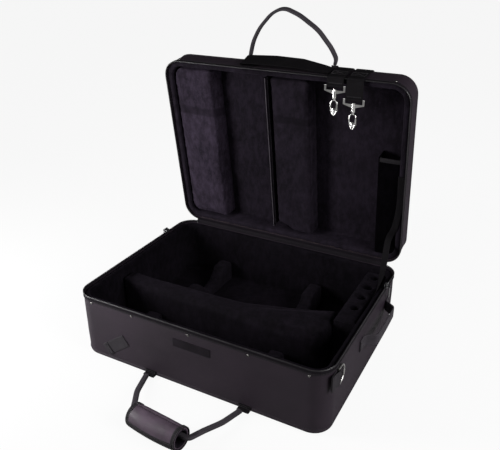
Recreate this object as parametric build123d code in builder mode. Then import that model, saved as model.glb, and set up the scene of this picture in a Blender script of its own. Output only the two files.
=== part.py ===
"""Double case for a trumpet and a flugelhorn, lid open, at real size in millimetres.

Frame: origin under the middle of the base box, +X along the length, +Y to the hinge, +Z up.
The lid is drawn on LID, a frame in which it has the coordinates that it has when it is shut.
"""

from build123d import *
from math import asin, cos, degrees, radians, sin
import os

os.makedirs("parts", exist_ok=True)

# ---- Driving dimensions, mm and degrees ------------------------------------------------------
# Box
CASE_L = 558.0  # over the fabric cover, along X
CASE_W = 413.0  # over the fabric cover, along Y
BASE_H = 145.0  # underside to the crest of the zip chain
LID_H = 62.0  # parting plane to the lid's outer face
CORNER_R = 38.0  # upright corners of both halves
EDGE_R = 6.0  # rolled edge round the underside and round the lid's outer face
PARTING_GAP = 3.4  # between the two half chains when the lid is shut, where the strap lies
LID_OPEN = 81.3  # lid's angle from shut, as it stands
HINGE_OUT = 1.6  # hinge axis behind the cover's back face

# Wall, from the outside in
COVER_T = 1.5
FRAME_T = 8.0
BOARD_T = 6.0
LINING_T = 4.0
LIP_T = 2.0  # lining folded over the top of the wall frame
HEM_H = 7.5  # height of the cover panel that wraps the rolled edge
LINING_LIP_R = 1.8
LINING_FLOOR_R = 6.0

# Zip
LIP_DROP = 6.5  # lining lip below the crest of the chain
TAPE_T = 1.0
TAPE_H = 8.6
CHAIN_H = 2.4
CHAIN_OUT = 1.6  # outside of the chain beyond the cover's face
CHAIN_IN = 0.6  # inside of the chain within the cover's face
CHAIN_R = 0.8
ZIP_END_IN = 32.0  # the zip starts and ends on the back wall, this far in from the end walls' faces
STOP_L = 6.0
STOP_H = 4.5
STOP_OUT = 2.6
SLIDER_PARK_Y = 117.0
SLIDER_L = 14.0
SLIDER_H = 12.0
SLIDER_PLATE_T = 1.4
SLIDER_GAP = 0.35  # clearance between the slider and the chain
SLIDER_INSET = 2.2  # the inner plate is this much smaller above and below
BRIDGE_L = 8.4
BRIDGE_H = 5.0
BRIDGE_T = 1.8
PULL_L = 26.0
PULL_W = 7.0
PULL_T = 2.0
PULL_EYE_T = 0.9
PULL_CLEAR = 0.2

# Hinge tape
HINGE_END_GAP = 15.0  # from each end of the zip to the tape
HINGE_T = 1.2
HINGE_LEAF = 25.0
HINGE_BEAD_R = 1.3
HINGE_CLEAR = 0.6

# Rivets
BASE_RIVET_XS = (-238.5, -136.5, -3.0, 125.5, 244.0)
LID_RIVET_XS = (-245.0, 245.0)
RIVET_DROP = 14.5  # below the crest of the chain
RIVET_R = 2.8
RIVET_RISE = 1.5
RIVET_SHANK_R = 1.2
RIVET_CLEAR = 0.05

# Trim on the front wall
BADGE_L = 84.0
BADGE_H = 18.5
BADGE_T = 1.4
BADGE_X = 3.0
BADGE_Z = 104.0
TAB_L = 66.0
TAB_W = 27.0
TAB_T = 1.5
TAB_TILT = 36.0
TAB_AT = (-183.5, 46.0)  # X and Z of the middle
TAB_FOLD_L = 20.0  # the lower end is turned back on itself this far

# D-rings on the end walls
DRING_YS = {"left": -150.0, "right": -166.5}  # straight bars
DRING_Z = 113.0
DRING_H = 38.0
DRING_REACH = 27.0  # bar to the far side of the bow
DRING_WIRE = 4.0
DRING_OFF = 4.2  # wire's middle off the wall
DRING_TAB_L = 25.0
DRING_TAB_T = 1.4
DRING_CLEAR = 0.35

# Side handle on the right end wall
SIDE_FEET_Y = (-42.0, 146.0)  # outer ends of the two feet
SIDE_DROP = 50.5  # middle of the strap below the crest of the zip chain
SIDE_W = 25.0
SIDE_T = 3.0
SIDE_FOOT = 24.0
SIDE_RISE = 23.0
SIDE_SHOULDER = 14.0  # along Y from the foot to the bowed stretch
SIDE_BEND_R = 8.0

# Webbing handles
WEB_CLEAR = 0.5
ANCHOR_NOSE_R = 1.8
LID_LOOP_T = 6.5  # folded webbing, in the plane of the loop
LID_LOOP_W = 13.0
LID_LOOP_CLEAR = 1.1  # between the loop's end and the foot it swings on
LID_FOOT_XS = (-90.0, 105.0)
LID_FOOT_W = 15.0
LID_FOOT_L = 42.0
LID_FOOT_T = 2.0
LID_LOOP_POINTS = (
    (-80.0, 34.0), (-62.0, 64.0), (-32.0, 95.0), (-4.0, 107.5), (30.0, 94.0), (70.0, 67.0), (98.0, 32.0), (108.0, 12.0),
)
LID_LOOP_RADII = (110.0, 110.0, 70.0, 34.0, 100.0, 90.0, 80.0, 14.0)
RUN_W = 36.0  # the flat run of the lid handle's webbing between its feet
RUN_T = 2.2
RUN_FROM_D = 15.3
RUN_POINTS = (
    (-58.0, 1.3), (-89.0, 1.3), (-90.0, 12.5), (-20.0, 17.5), (42.0, 16.0), (90.0, 6.0), (109.0, 1.3),
)
RUN_RADII = (5.0, 5.0, 150.0, 60.0, 20.0)
BASE_LOOP_T = 11.0
BASE_LOOP_W = 7.0
BASE_FOOT_XS = (-99.0, 118.0)
BASE_FOOT_W = 26.0
BASE_HINGE_OUT = 8.5  # handle's hinge in front of the cover's face
BASE_HINGE_Z = 5.0
BASE_FOOT_H = 16.0  # upright part of each foot, sewn to the front wall
BASE_LOOP_END_XS = (-103.5, 113.5)
BASE_LEFT_POINTS = ((-84.0, -57.0), (-68.0, -83.0))  # across and out, in the loop's plane
BASE_RIGHT_POINTS = ((88.0, -88.0), (104.0, -50.0))
BASE_LOOP_RADII = (90.0, 60.0, 13.0, 9.0, 60.0, 90.0)

# Padded grip on the base handle
GRIP_L = 111.0
GRIP_AT = (11.5, -122.0)  # middle of its axis, across and out, in the loop's plane
GRIP_TURN = -6.2  # its right end lies further out
GRIP_SIDE = 7.5  # the webbing runs through it this far off its axis, towards the case
GRIP_R = 21.5
GRIP_PLY = 4.3
GRIP_CORE_R = 14.0
GRIP_CLEAR = 0.3
GRIP_BENDS = (11.0, 9.0)  # from each end of the grip to the corner of the loop beside it
GRIP_RIB_T = 4.0
GRIP_RIB_L = 60.0
GRIP_RIB_TOP = 13.4
FLAP_FROM = 75.0  # angles round the grip, 0 towards the case, 90 up
FLAP_TO = 240.0
FLAP_SEAM = 3.0  # angle between the flap's free edge and the wrap
WRAP_TO = 424.0

# Base interior
LINING_GAP = 0.3  # padded blocks off the lining and off each other
BLOCK_R = 6.0
DIVIDER_TOP = 118.0
DIVIDER_PLAN = (
    (-264.0, -80.0), (70.0, -81.0), (150.0, -74.0), (214.0, -60.0), (214.0, 28.0), (120.0, -2.0),
    (20.0, -32.0), (-264.0, -41.0),
)
CRADLE_T = 34.0
CRADLE_TOP = 62.0
TRUMPET_Y = -137.0
TRUMPET_SPAN = 108.0  # the trumpet cradles' length across the compartment
FLUGEL_Y = 101.0
FLUGEL_SPAN = 176.0
TRUMPET_CRADLES = (("trumpet_slide_cradle", -170.0, 24.0), ("trumpet_bell_cradle", 128.0, 34.0))
FLUGEL_CRADLES = (("flugelhorn_bell_cradle", -150.0, 50.0), ("flugelhorn_slide_cradle", 96.0, 36.0))
GROOVE_SINK = 0.65  # depth of a cradle's groove, as a share of its radius
HOLDER_X = (216.0, 261.0)
HOLDER_Y = (-20.0, 190.0)
HOLDER_TOP = 126.0
HOLDER_BORE_R = 10.0
HOLDER_BORE_Y0 = 37.0
HOLDER_PITCH = 44.0
HOLDER_COUNT = 4

# Lid interior, depths from the parting plane
LID_BLOCK_D = 13.0
LEFT_BLOCK_X = -165.5
LEFT_BLOCK_SLOPE = 8.0  # its free side spreads this far from face to foot
CROWN = 2.0
BEAM_X = (-22.5, 69.0)
BEAM_CUT = (44.0, 22.0)  # corner cut off at the hinge end, along X and Y
LID_END_GAP = 4.0
LID_DIVIDER_X = -30.5
LID_DIVIDER_T = 4.0
LID_DIVIDER_D = 7.0
LID_DIVIDER_STOP = 11.0  # its hinge end stops this far short of the blocks' ends
BINDING_W = 7.0
BINDING_T = 1.2
POCKET_X = 218.5
POCKET_TOP_Y = -43.0
POCKET_D = 12.0
POCKET_T = 3.0

# Shoulder strap over the lid's front wall
STRAP_W = 35.0
STRAP_T = 1.2
STRAP_XS = (130.5, 171.0)
STRAP_DROPS = (13.0, 36.0)  # from the rim down to each hook's bar
STRAP_OFF = 0.3
STRAP_TAIL = 34.0  # second ply up the outside of the wall
STRAP_LEG_END_Y = 95.0
STRAP_RIM_R = 1.6
ADJUSTER_L = 26.0
ADJUSTER_OVER = 4.0
ADJUSTER_T = 2.4
ADJUSTER_SLOT = 6.0
ADJUSTER_BAR = 4.5
ADJUSTER_Y = -70.0

# Swivel snap hooks, lengths down from the bar
BAR_R = 1.7
EYE_CLEAR = 0.35
FRAME_SIDE = 4.0
FRAME_DEPTH = 3.4
FRAME_ARM = 10.0
FRAME_WINDOW = 8.0
BOSS_TOP = 15.0
BOSS_END = 22.0
BOSS_R = 4.6
POST_R = 2.0
POST_CLEAR = 0.08
COLLAR_R = 3.6
COLLAR_T = 2.4
HOOK_T = 5.0
HOOK_TOP = 27.5
HOOK_W = 17.0
HOOK_END = 59.0
HOOK_WIRE = 4.4
GATE_W = 3.0
GATE_T = 3.6
GATE_TANG = 1.8  # thickness of the gate's lower end, between the hook's ears
GATE_CLEAR = 0.25
GATE_TOP = 36.0
GATE_PIN = 48.0
GATE_PIN_R = 0.9

# Lid stay, a soft webbing down the right side
STAY_W = 14.0
STAY_T = 1.4
STAY_ON_LID = (  # x, distance up the lid from the hinge, depth
    (270.8, 219.0, 7.2), (270.8, 150.0, 7.2), (264.0, 97.0, 6.4), (251.0, 56.0, 6.0),
)
STAY_IN_BASE = (  # x, y, z, and how far the webbing has turned on edge
    (257.0, 165.0, 158.0, 25.0), (262.5, 120.0, 138.0, 65.0), (264.4, 62.0, 127.0, 90.0), (264.4, 40.0, 114.0, 90.0),
)

# ---- Derived values --------------------------------------------------------------------------
HINGE_Y = CASE_W / 2 + HINGE_OUT
HINGE_Z = BASE_H + PARTING_GAP / 2
LID_DEPTH = LID_H - PARTING_GAP / 2  # outer face to the crest of the lid's chain
FRAME_IN = COVER_T + FRAME_T
LINING_IN = FRAME_IN + LINING_T
BOARD_TOP = COVER_T + BOARD_T
LINING_FLOOR = BOARD_TOP + LINING_T
BASE_LIP = BASE_H - LIP_DROP
LID_FLOOR_D = LID_H - LINING_FLOOR  # inside face of the lid's top, from the parting plane
INNER_X = CASE_L / 2 - LINING_IN
INNER_Y = CASE_W / 2 - LINING_IN
FRONT_Y = -CASE_W / 2
END_X = CASE_L / 2
ZIP_END_X = END_X - ZIP_END_IN
HINGE_L = 2 * (ZIP_END_X - HINGE_END_GAP)
SIDE_Z = BASE_H - SIDE_DROP

LID = Plane(Pos(0, HINGE_Y, HINGE_Z) * Rot(X=-LID_OPEN) * Pos(0, -HINGE_Y, 0))
LID_FOOT = Plane(LID.from_local_coords((0, 0, LID_H)), x_dir=-LID.x_dir, z_dir=-LID.z_dir)
DOWN_IN_LID = (cos(radians(90 - LID_OPEN)), -sin(radians(90 - LID_OPEN)))  # plumb, as lid y and z


def outline(inset):
    """Length, width and corner radius of the box's plan, inset from the cover's face."""
    return CASE_L - 2 * inset, CASE_W - 2 * inset, CORNER_R - inset


def lid_across(x):
    """Plane square to the length at lid x, drawn in lid y and z."""
    return Plane(LID.from_local_coords((x, 0, 0)), x_dir=LID.y_dir, z_dir=LID.x_dir)


def lid_along(y):
    """Plane square to the width at lid y, drawn in lid x and z, facing the hinge's far side."""
    return Plane(LID.from_local_coords((0, y, 0)), x_dir=LID.x_dir, z_dir=-LID.y_dir)


# ---- The two half shells, built alike from their closed side up ------------------------------
HALVES = (("base", "bottom", Plane.XY, BASE_H, BASE_RIVET_XS), ("lid", "top", LID_FOOT, LID_DEPTH, LID_RIVET_XS))
for half, foot_name, foot, height, rivet_xs in HALVES:
    up = Axis(foot.origin, foot.z_dir)
    lip = height - LIP_DROP
    front = Plane(foot.from_local_coords((0, FRONT_Y, 0)), x_dir=foot.x_dir, z_dir=-foot.y_dir)
    rivet_spots = [(x, height - RIVET_DROP) for x in rivet_xs]

    with BuildPart() as end_cover:
        with BuildSketch(foot):
            RectangleRounded(*outline(0))
        extrude(amount=HEM_H)
        fillet(end_cover.faces().sort_by(up)[0].edges(), radius=EDGE_R)
        offset(amount=-COVER_T, openings=end_cover.faces().sort_by(up)[-1])
    end_cover.part.label = f"{half}_{foot_name}_cover"
    export_step(end_cover.part, f"parts/{half}_{foot_name}_cover.step")

    with BuildPart() as board:
        with BuildSketch(foot.offset(COVER_T)):
            RectangleRounded(*outline(COVER_T))
        extrude(amount=BOARD_T)
        fillet(board.faces().sort_by(up)[0].edges(), radius=EDGE_R - COVER_T)
    board.part.label = f"{half}_{foot_name}_board"
    export_step(board.part, f"parts/{half}_{foot_name}_board.step")

    with BuildPart() as side_cover:
        with BuildSketch(foot.offset(HEM_H)):
            RectangleRounded(*outline(0))
            RectangleRounded(*outline(COVER_T), mode=Mode.SUBTRACT)
        extrude(amount=lip - HEM_H)
        with BuildSketch(front):
            with Locations(*rivet_spots):
                Circle(RIVET_SHANK_R + RIVET_CLEAR)
        extrude(amount=-COVER_T - FRAME_T, mode=Mode.SUBTRACT)
    side_cover.part.label = f"{half}_side_cover"
    export_step(side_cover.part, f"parts/{half}_side_cover.step")

    with BuildPart() as wall_frame:
        with BuildSketch(foot.offset(BOARD_TOP)):
            RectangleRounded(*outline(COVER_T))
            RectangleRounded(*outline(FRAME_IN), mode=Mode.SUBTRACT)
        extrude(amount=lip - LIP_T - BOARD_TOP)
        with BuildSketch(front):
            with Locations(*rivet_spots):
                Circle(RIVET_SHANK_R + RIVET_CLEAR)
        extrude(amount=-COVER_T - FRAME_T, mode=Mode.SUBTRACT)
    wall_frame.part.label = f"{half}_wall_frame"
    export_step(wall_frame.part, f"parts/{half}_wall_frame.step")

    with BuildPart() as lining:
        with BuildSketch(foot.offset(BOARD_TOP)):
            RectangleRounded(*outline(FRAME_IN))
        extrude(amount=lip - BOARD_TOP)
        with BuildSketch(foot.offset(lip - LIP_T)):
            RectangleRounded(*outline(COVER_T))
        extrude(amount=LIP_T)
        with BuildSketch(foot.offset(LINING_FLOOR)):
            RectangleRounded(*outline(LINING_IN))
        extrude(amount=lip - LINING_FLOOR, mode=Mode.SUBTRACT)
        fillet(lining.faces().filter_by(up).group_by(up)[1].edges(), radius=LINING_FLOOR_R)
        fillet(lining.faces().sort_by(up)[-1].inner_wires().edges(), radius=LINING_LIP_R)
    lining.part.label = f"{half}_lining"
    export_step(lining.part, f"parts/{half}_lining.step")

    with BuildPart() as zip_tape:
        with BuildSketch(foot.offset(height - CHAIN_H - TAPE_H)):
            RectangleRounded(*outline(-TAPE_T))
            RectangleRounded(*outline(0), mode=Mode.SUBTRACT)
            with Locations((0, CASE_W / 2)):
                Rectangle(2 * ZIP_END_X, CORNER_R, mode=Mode.SUBTRACT)
        extrude(amount=TAPE_H)
    zip_tape.part.label = f"{half}_zip_tape"
    export_step(zip_tape.part, f"parts/{half}_zip_tape.step")

    with BuildPart() as zip_chain:
        with BuildSketch(foot.offset(height - CHAIN_H)):
            RectangleRounded(*outline(-CHAIN_OUT))
            RectangleRounded(*outline(CHAIN_IN), mode=Mode.SUBTRACT)
            with Locations((0, CASE_W / 2)):
                Rectangle(2 * ZIP_END_X, CORNER_R, mode=Mode.SUBTRACT)
        extrude(amount=CHAIN_H)
        crest_edges = zip_chain.faces().sort_by(up)[-1].edges()
        fillet(crest_edges.filter_by(lambda edge: edge.length > CORNER_R), radius=CHAIN_R)
    zip_chain.part.label = f"{half}_zip_chain"
    export_step(zip_chain.part, f"parts/{half}_zip_chain.step")

    with BuildPart() as rivets:
        with BuildSketch(front):
            with Locations(*rivet_spots):
                Circle(RIVET_R)
        extrude(amount=RIVET_RISE)
        fillet(rivets.faces().sort_by(Axis(front.origin, front.z_dir))[-len(rivet_xs):].edges(), radius=RIVET_RISE * 0.9)
        with BuildSketch(front):
            with Locations(*rivet_spots):
                Circle(RIVET_SHANK_R)
        extrude(amount=-COVER_T - FRAME_T)
    rivets.part.label = f"{half}_rivets"
    export_step(rivets.part, f"parts/{half}_rivets.step")

# ---- Hinge: two tape leaves, the base's with a bead on the axis ------------------------------
with BuildPart() as base_hinge_tape:
    with BuildSketch(Plane.YZ.offset(-HINGE_L / 2)):
        with Locations((CASE_W / 2 + HINGE_T / 2, HINGE_Z - HINGE_LEAF / 2)):
            Rectangle(HINGE_T, HINGE_LEAF)
        with Locations((HINGE_Y, HINGE_Z)):
            Circle(HINGE_BEAD_R)
    extrude(amount=HINGE_L)
base_hinge_tape.part.label = "base_hinge_tape"
export_step(base_hinge_tape.part, "parts/base_hinge_tape.step")

with BuildPart() as lid_hinge_tape:
    with BuildSketch(lid_across(-HINGE_L / 2)):
        with Locations((CASE_W / 2 + HINGE_T / 2, HINGE_BEAD_R + HINGE_CLEAR + HINGE_LEAF / 2)):
            Rectangle(HINGE_T, HINGE_LEAF)
    extrude(amount=HINGE_L)
lid_hinge_tape.part.label = "lid_hinge_tape"
export_step(lid_hinge_tape.part, "parts/lid_hinge_tape.step")

# ---- Zip ends and sliders --------------------------------------------------------------------
with BuildPart() as zip_end_stops:
    with BuildSketch(Plane.XY.offset(BASE_H - STOP_H)):
        with GridLocations(2 * ZIP_END_X - STOP_L, 0, 2, 1):
            with Locations((0, CASE_W / 2 + STOP_OUT / 2)):
                Rectangle(STOP_L, STOP_OUT)
    extrude(amount=STOP_H)
    fillet(zip_end_stops.edges().filter_by(Axis.X), radius=STOP_OUT / 4)
zip_end_stops.part.label = "zip_end_stops"
export_step(zip_end_stops.part, "parts/zip_end_stops.step")

PLATE_IN = CHAIN_OUT + SLIDER_GAP  # inside of the slider's outer plate, off the cover's face
BAR_OUT = PLATE_IN + SLIDER_PLATE_T + BRIDGE_H - BRIDGE_T / 2  # middle of the bar that holds the pull
for side, sign in (("left", -1), ("right", 1)):
    # Drawn along the wall and upwards, from the middle of the parting gap.
    wall = Plane((sign * END_X, SLIDER_PARK_Y, HINGE_Z), x_dir=(0, sign, 0), z_dir=(sign, 0, 0))

    with BuildPart() as slider:
        with BuildSketch(wall.offset(PLATE_IN)):
            RectangleRounded(SLIDER_L, SLIDER_H, SLIDER_H / 3)
        extrude(amount=SLIDER_PLATE_T)
        with BuildSketch(wall.offset(-CHAIN_IN - SLIDER_GAP)):
            RectangleRounded(SLIDER_L, SLIDER_H - 2 * SLIDER_INSET, SLIDER_H / 4)
        extrude(amount=-SLIDER_PLATE_T)
        with BuildSketch(wall.offset(-CHAIN_IN - SLIDER_GAP)):
            SlotOverall(SLIDER_L / 2, PARTING_GAP - 2 * SLIDER_GAP)
        extrude(amount=CHAIN_IN + SLIDER_GAP + PLATE_IN)
        with BuildSketch(Plane(wall.origin, x_dir=wall.x_dir, z_dir=-wall.y_dir)):
            with Locations((0, PLATE_IN + SLIDER_PLATE_T + BRIDGE_H / 2)):
                Rectangle(BRIDGE_L, BRIDGE_H)
            with Locations((0, PLATE_IN + SLIDER_PLATE_T + (BRIDGE_H - BRIDGE_T) / 2)):
                Rectangle(BRIDGE_L - 2 * BRIDGE_T, BRIDGE_H - BRIDGE_T, mode=Mode.SUBTRACT)
        extrude(amount=BRIDGE_T / 2, both=True)
    slider.part.label = f"zip_slider_{side}"
    export_step(slider.part, f"parts/zip_slider_{side}.step")

    with BuildPart() as pull:
        eye_r = BRIDGE_T * 0.71 + PULL_CLEAR  # round the square bar
        with BuildSketch(Plane(wall.from_local_coords((0, 0, BAR_OUT)), x_dir=wall.z_dir, z_dir=wall.x_dir)):
            Circle(eye_r + PULL_EYE_T)
        extrude(amount=BRIDGE_L / 2 - BRIDGE_T - PULL_CLEAR, both=True)
        with BuildSketch(wall.offset(BAR_OUT - PULL_T / 2)):
            with Locations((0, -PULL_L / 2 - eye_r - PULL_EYE_T / 2)):
                RectangleRounded(PULL_W, PULL_L, PULL_W * 0.4)
        extrude(amount=PULL_T)
        with BuildSketch(Plane(wall.from_local_coords((0, 0, BAR_OUT)), x_dir=wall.z_dir, z_dir=wall.x_dir)):
            Circle(eye_r)
        extrude(amount=BRIDGE_L, both=True, mode=Mode.SUBTRACT)
    pull.part.label = f"zip_pull_{side}"
    export_step(pull.part, f"parts/zip_pull_{side}.step")

# ---- Trim on the front wall ------------------------------------------------------------------
FRONT = Plane((0, FRONT_Y, 0), x_dir=(1, 0, 0), z_dir=(0, -1, 0))

with BuildPart() as badge_plate:
    with BuildSketch(FRONT):
        with Locations((BADGE_X, BADGE_Z)):
            RectangleRounded(BADGE_L, BADGE_H, BADGE_T)
    extrude(amount=BADGE_T)
    fillet(badge_plate.faces().sort_by(Axis.Y)[0].edges(), radius=BADGE_T / 3)
badge_plate.part.label = "badge_plate"
export_step(badge_plate.part, "parts/badge_plate.step")

with BuildPart() as front_tab:
    tab_plane = Plane(FRONT.location * Pos(*TAB_AT, 0) * Rot(Z=TAB_TILT))
    with BuildSketch(tab_plane):
        RectangleRounded(TAB_L, TAB_W, TAB_T)
    extrude(amount=TAB_T)
    with BuildSketch(tab_plane.offset(TAB_T)):
        with Locations((-(TAB_L - TAB_FOLD_L) / 2, 0)):
            RectangleRounded(TAB_FOLD_L, TAB_W, TAB_T)
    extrude(amount=TAB_T)
front_tab.part.label = "front_tab"
export_step(front_tab.part, "parts/front_tab.step")

# ---- D-rings on the end walls, each in a webbing tab in front of its straight bar ------------
for side, sign in (("left", -1), ("right", 1)):
    ring_y = DRING_YS[side]
    ring_plane = Plane((sign * (END_X + DRING_OFF), ring_y, DRING_Z), x_dir=(0, 1, 0), z_dir=(1, 0, 0))
    bow_r = DRING_H / 2

    with BuildPart() as d_ring:
        with BuildLine(ring_plane) as bow:
            Polyline((0, 0), (0, -bow_r), (DRING_REACH - bow_r, -bow_r))
            ThreePointArc((DRING_REACH - bow_r, -bow_r), (DRING_REACH, 0), (DRING_REACH - bow_r, bow_r))
            Polyline((DRING_REACH - bow_r, bow_r), (0, bow_r), (0, 0))
        with BuildSketch(Plane(ring_plane.origin, x_dir=(0, 1, 0), z_dir=(0, 0, 1))):
            Circle(DRING_WIRE / 2)
        sweep(path=bow.line, transition=Transition.ROUND)
    d_ring.part.label = f"d_ring_{side}"
    export_step(d_ring.part, f"parts/d_ring_{side}.step")

    with BuildPart() as d_ring_tab:
        eye_r = DRING_WIRE / 2 + DRING_CLEAR
        with BuildSketch(Plane((sign * END_X, ring_y, DRING_Z), x_dir=(0, -1, 0), z_dir=(0, 0, sign))):
            with Locations((0, DRING_OFF)):
                Circle(eye_r + DRING_TAB_T)
            with Locations((DRING_TAB_L / 2, DRING_TAB_T)):
                Rectangle(DRING_TAB_L, 2 * DRING_TAB_T)
            make_hull()
            with Locations((0, -DRING_H / 2)):
                Rectangle(DRING_H, DRING_H, mode=Mode.SUBTRACT)
            with Locations((0, DRING_OFF)):
                Circle(eye_r, mode=Mode.SUBTRACT)
        extrude(amount=bow_r - DRING_WIRE / 2 - DRING_CLEAR, both=True)
    d_ring_tab.part.label = f"d_ring_tab_{side}"
    export_step(d_ring_tab.part, f"parts/d_ring_tab_{side}.step")

# ---- Side handle: webbing bowed off the right end wall ---------------------------------------
with BuildPart() as side_handle:
    first, last = SIDE_FEET_Y
    low = END_X + SIDE_T / 2
    high = END_X + SIDE_RISE
    with BuildSketch(Plane.XY.offset(SIDE_Z - SIDE_W / 2)):
        with BuildLine():
            FilletPolyline(
                (low, first),
                (low, first + SIDE_FOOT),
                (high, first + SIDE_FOOT + SIDE_SHOULDER),
                (high, last - SIDE_FOOT - SIDE_SHOULDER),
                (low, last - SIDE_FOOT),
                (low, last),
                radius=SIDE_BEND_R,
            )
        trace(line_width=SIDE_T)
    extrude(amount=SIDE_W)
side_handle.part.label = "side_handle"
export_step(side_handle.part, "parts/side_handle.step")

# ---- Lid handle: feet on the outer face, a swinging loop and the run between the feet --------
LOOP_D = LID_H + LID_FOOT_T / 2  # middle of the loop, as a depth from the parting plane
LOOP_Y = FRONT_Y - ANCHOR_NOSE_R  # swing axis
LOOP_FOOT_Y = LOOP_Y - ANCHOR_NOSE_R - LID_LOOP_CLEAR

with BuildPart() as lid_handle_feet:
    with BuildSketch(LID.offset(LID_H)):
        for x in LID_FOOT_XS:
            with Locations((x, LOOP_Y + LID_FOOT_L / 2)):
                Rectangle(LID_FOOT_W, LID_FOOT_L)
    extrude(amount=LID_FOOT_T)
    for x in LID_FOOT_XS:
        with BuildSketch(lid_across(x)):
            with Locations((LOOP_Y, LOOP_D)):
                Circle(ANCHOR_NOSE_R)
        extrude(amount=LID_FOOT_W / 2, both=True)
lid_handle_feet.part.label = "lid_handle_feet"
export_step(lid_handle_feet.part, "parts/lid_handle_feet.step")

with BuildPart() as lid_handle_loop:
    loop_path = [(x, LOOP_FOOT_Y - out) for x, out in LID_LOOP_POINTS]
    with BuildSketch(LID.offset(LOOP_D)):
        with BuildLine():
            FilletPolyline(
                (LID_FOOT_XS[0], LOOP_FOOT_Y), *loop_path, (LID_FOOT_XS[1], LOOP_FOOT_Y), radius=LID_LOOP_RADII
            )
        trace(line_width=LID_LOOP_T)
    extrude(amount=LID_LOOP_W / 2, both=True)
    toward_hinge = Axis(LID.origin, LID.y_dir)
    foot_faces = lid_handle_loop.faces().filter_by(GeomType.PLANE).sort_by(toward_hinge)[-2:]
    foot_edges = foot_faces.edges().filter_by(lambda edge: edge.length < (LID_LOOP_T + LID_LOOP_W) / 2)
    chamfer(foot_edges, length=LID_LOOP_W * 0.38)
lid_handle_loop.part.label = "lid_handle_loop"
export_step(lid_handle_loop.part, "parts/lid_handle_loop.step")

with BuildPart() as lid_handle_run:
    with BuildSketch(LID.offset(RUN_FROM_D)):
        with BuildLine():
            FilletPolyline(*[(x, FRONT_Y - rise) for x, rise in RUN_POINTS], radius=RUN_RADII)
        trace(line_width=RUN_T)
    extrude(amount=RUN_W)
lid_handle_run.part.label = "lid_handle_run"
export_step(lid_handle_run.part, "parts/lid_handle_run.step")

# ---- Base handle: feet under the front edge, a swinging loop and the padded grip -------------
GRIP_NEAR = -GRIP_AT[1] + GRIP_L / 2 * sin(radians(GRIP_TURN))  # hinge to the grip's near end
SLOPE = degrees(asin((GRIP_R - BASE_HINGE_Z) / GRIP_NEAR))  # loop's rise, with that end on the ground
HINGE_FRONT = FRONT_Y - BASE_HINGE_OUT
SWING = Plane((0, HINGE_FRONT, BASE_HINGE_Z)).rotated((-SLOPE, 0, 0))
ALONG_GRIP = Pos(*GRIP_AT, 0) * Rot(Z=GRIP_TURN)  # in the loop's plane, X along the grip, Y towards the case

with BuildPart() as base_handle_feet:
    for x in BASE_FOOT_XS:
        with BuildSketch(Plane.YZ.offset(x)):
            with Locations(((FRONT_Y + HINGE_FRONT) / 2, BASE_HINGE_Z)):
                Rectangle(BASE_HINGE_OUT, 2 * ANCHOR_NOSE_R)
            with Locations((HINGE_FRONT, BASE_HINGE_Z)):
                Circle(ANCHOR_NOSE_R)
            with Locations((FRONT_Y - ANCHOR_NOSE_R / 2, BASE_HINGE_Z - ANCHOR_NOSE_R + BASE_FOOT_H / 2)):
                Rectangle(ANCHOR_NOSE_R, BASE_FOOT_H)
        extrude(amount=BASE_FOOT_W / 2, both=True)
base_handle_feet.part.label = "base_handle_feet"
export_step(base_handle_feet.part, "parts/base_handle_feet.step")

with BuildPart() as base_handle_loop:
    spans = (-GRIP_L / 2 - GRIP_BENDS[0], GRIP_L / 2 + GRIP_BENDS[1])
    grip_ends = [(ALONG_GRIP * Pos(span, GRIP_SIDE, 0)).position for span in spans]
    foot_y = -ANCHOR_NOSE_R - WEB_CLEAR
    left_foot, right_foot = [(x, foot_y) for x in BASE_LOOP_END_XS]
    with BuildSketch(SWING):
        with BuildLine():
            FilletPolyline(
                left_foot, *BASE_LEFT_POINTS, *grip_ends, *BASE_RIGHT_POINTS, right_foot, radius=BASE_LOOP_RADII
            )
        trace(line_width=BASE_LOOP_T)
        with Locations((0, foot_y + CASE_W / 2)):
            Rectangle(CASE_L, CASE_W, mode=Mode.SUBTRACT)
    extrude(amount=BASE_LOOP_W / 2, both=True)
base_handle_loop.part.label = "base_handle_loop"
export_step(base_handle_loop.part, "parts/base_handle_loop.step")


def ring_part(inner, outer, start, end):
    """Face of part of a ring, between two angles from local X."""
    with BuildLine() as border:
        rim = CenterArc((0, 0), outer, start, end - start)
        bore = CenterArc((0, 0), inner, start, end - start)
        Line(rim @ 0, bore @ 0)
        Line(rim @ 1, bore @ 1)
    make_face(border.edges())


# Angles round the grip are given level, so the slope of the loop is added.
grip_frame = Plane(SWING.location * ALONG_GRIP * Pos(-GRIP_L / 2, 0, 0))
grip_end = Plane(grip_frame.origin, x_dir=grip_frame.y_dir, z_dir=grip_frame.x_dir)
grip_middle = grip_end.offset((GRIP_L - GRIP_RIB_L) / 2)
WRAP_R = GRIP_R - GRIP_PLY - GRIP_CLEAR  # outside of the wrap's inner roll

with BuildPart() as grip_wrap:
    with BuildSketch(grip_end):
        Circle(WRAP_R)
        Circle(GRIP_CORE_R, mode=Mode.SUBTRACT)
    extrude(amount=GRIP_L)
    with BuildSketch(grip_end):
        ring_part(WRAP_R - GRIP_CLEAR, GRIP_R, FLAP_TO + FLAP_SEAM + SLOPE, WRAP_TO + SLOPE)
    extrude(amount=GRIP_L)
    with BuildSketch(grip_middle):
        with Locations((GRIP_SIDE, (GRIP_RIB_TOP + BASE_LOOP_W / 2) / 2)):
            Rectangle(GRIP_RIB_T, GRIP_RIB_TOP - BASE_LOOP_W / 2)
    extrude(amount=GRIP_RIB_L)
grip_wrap.part.label = "grip_wrap"
export_step(grip_wrap.part, "parts/grip_wrap.step")

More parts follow.
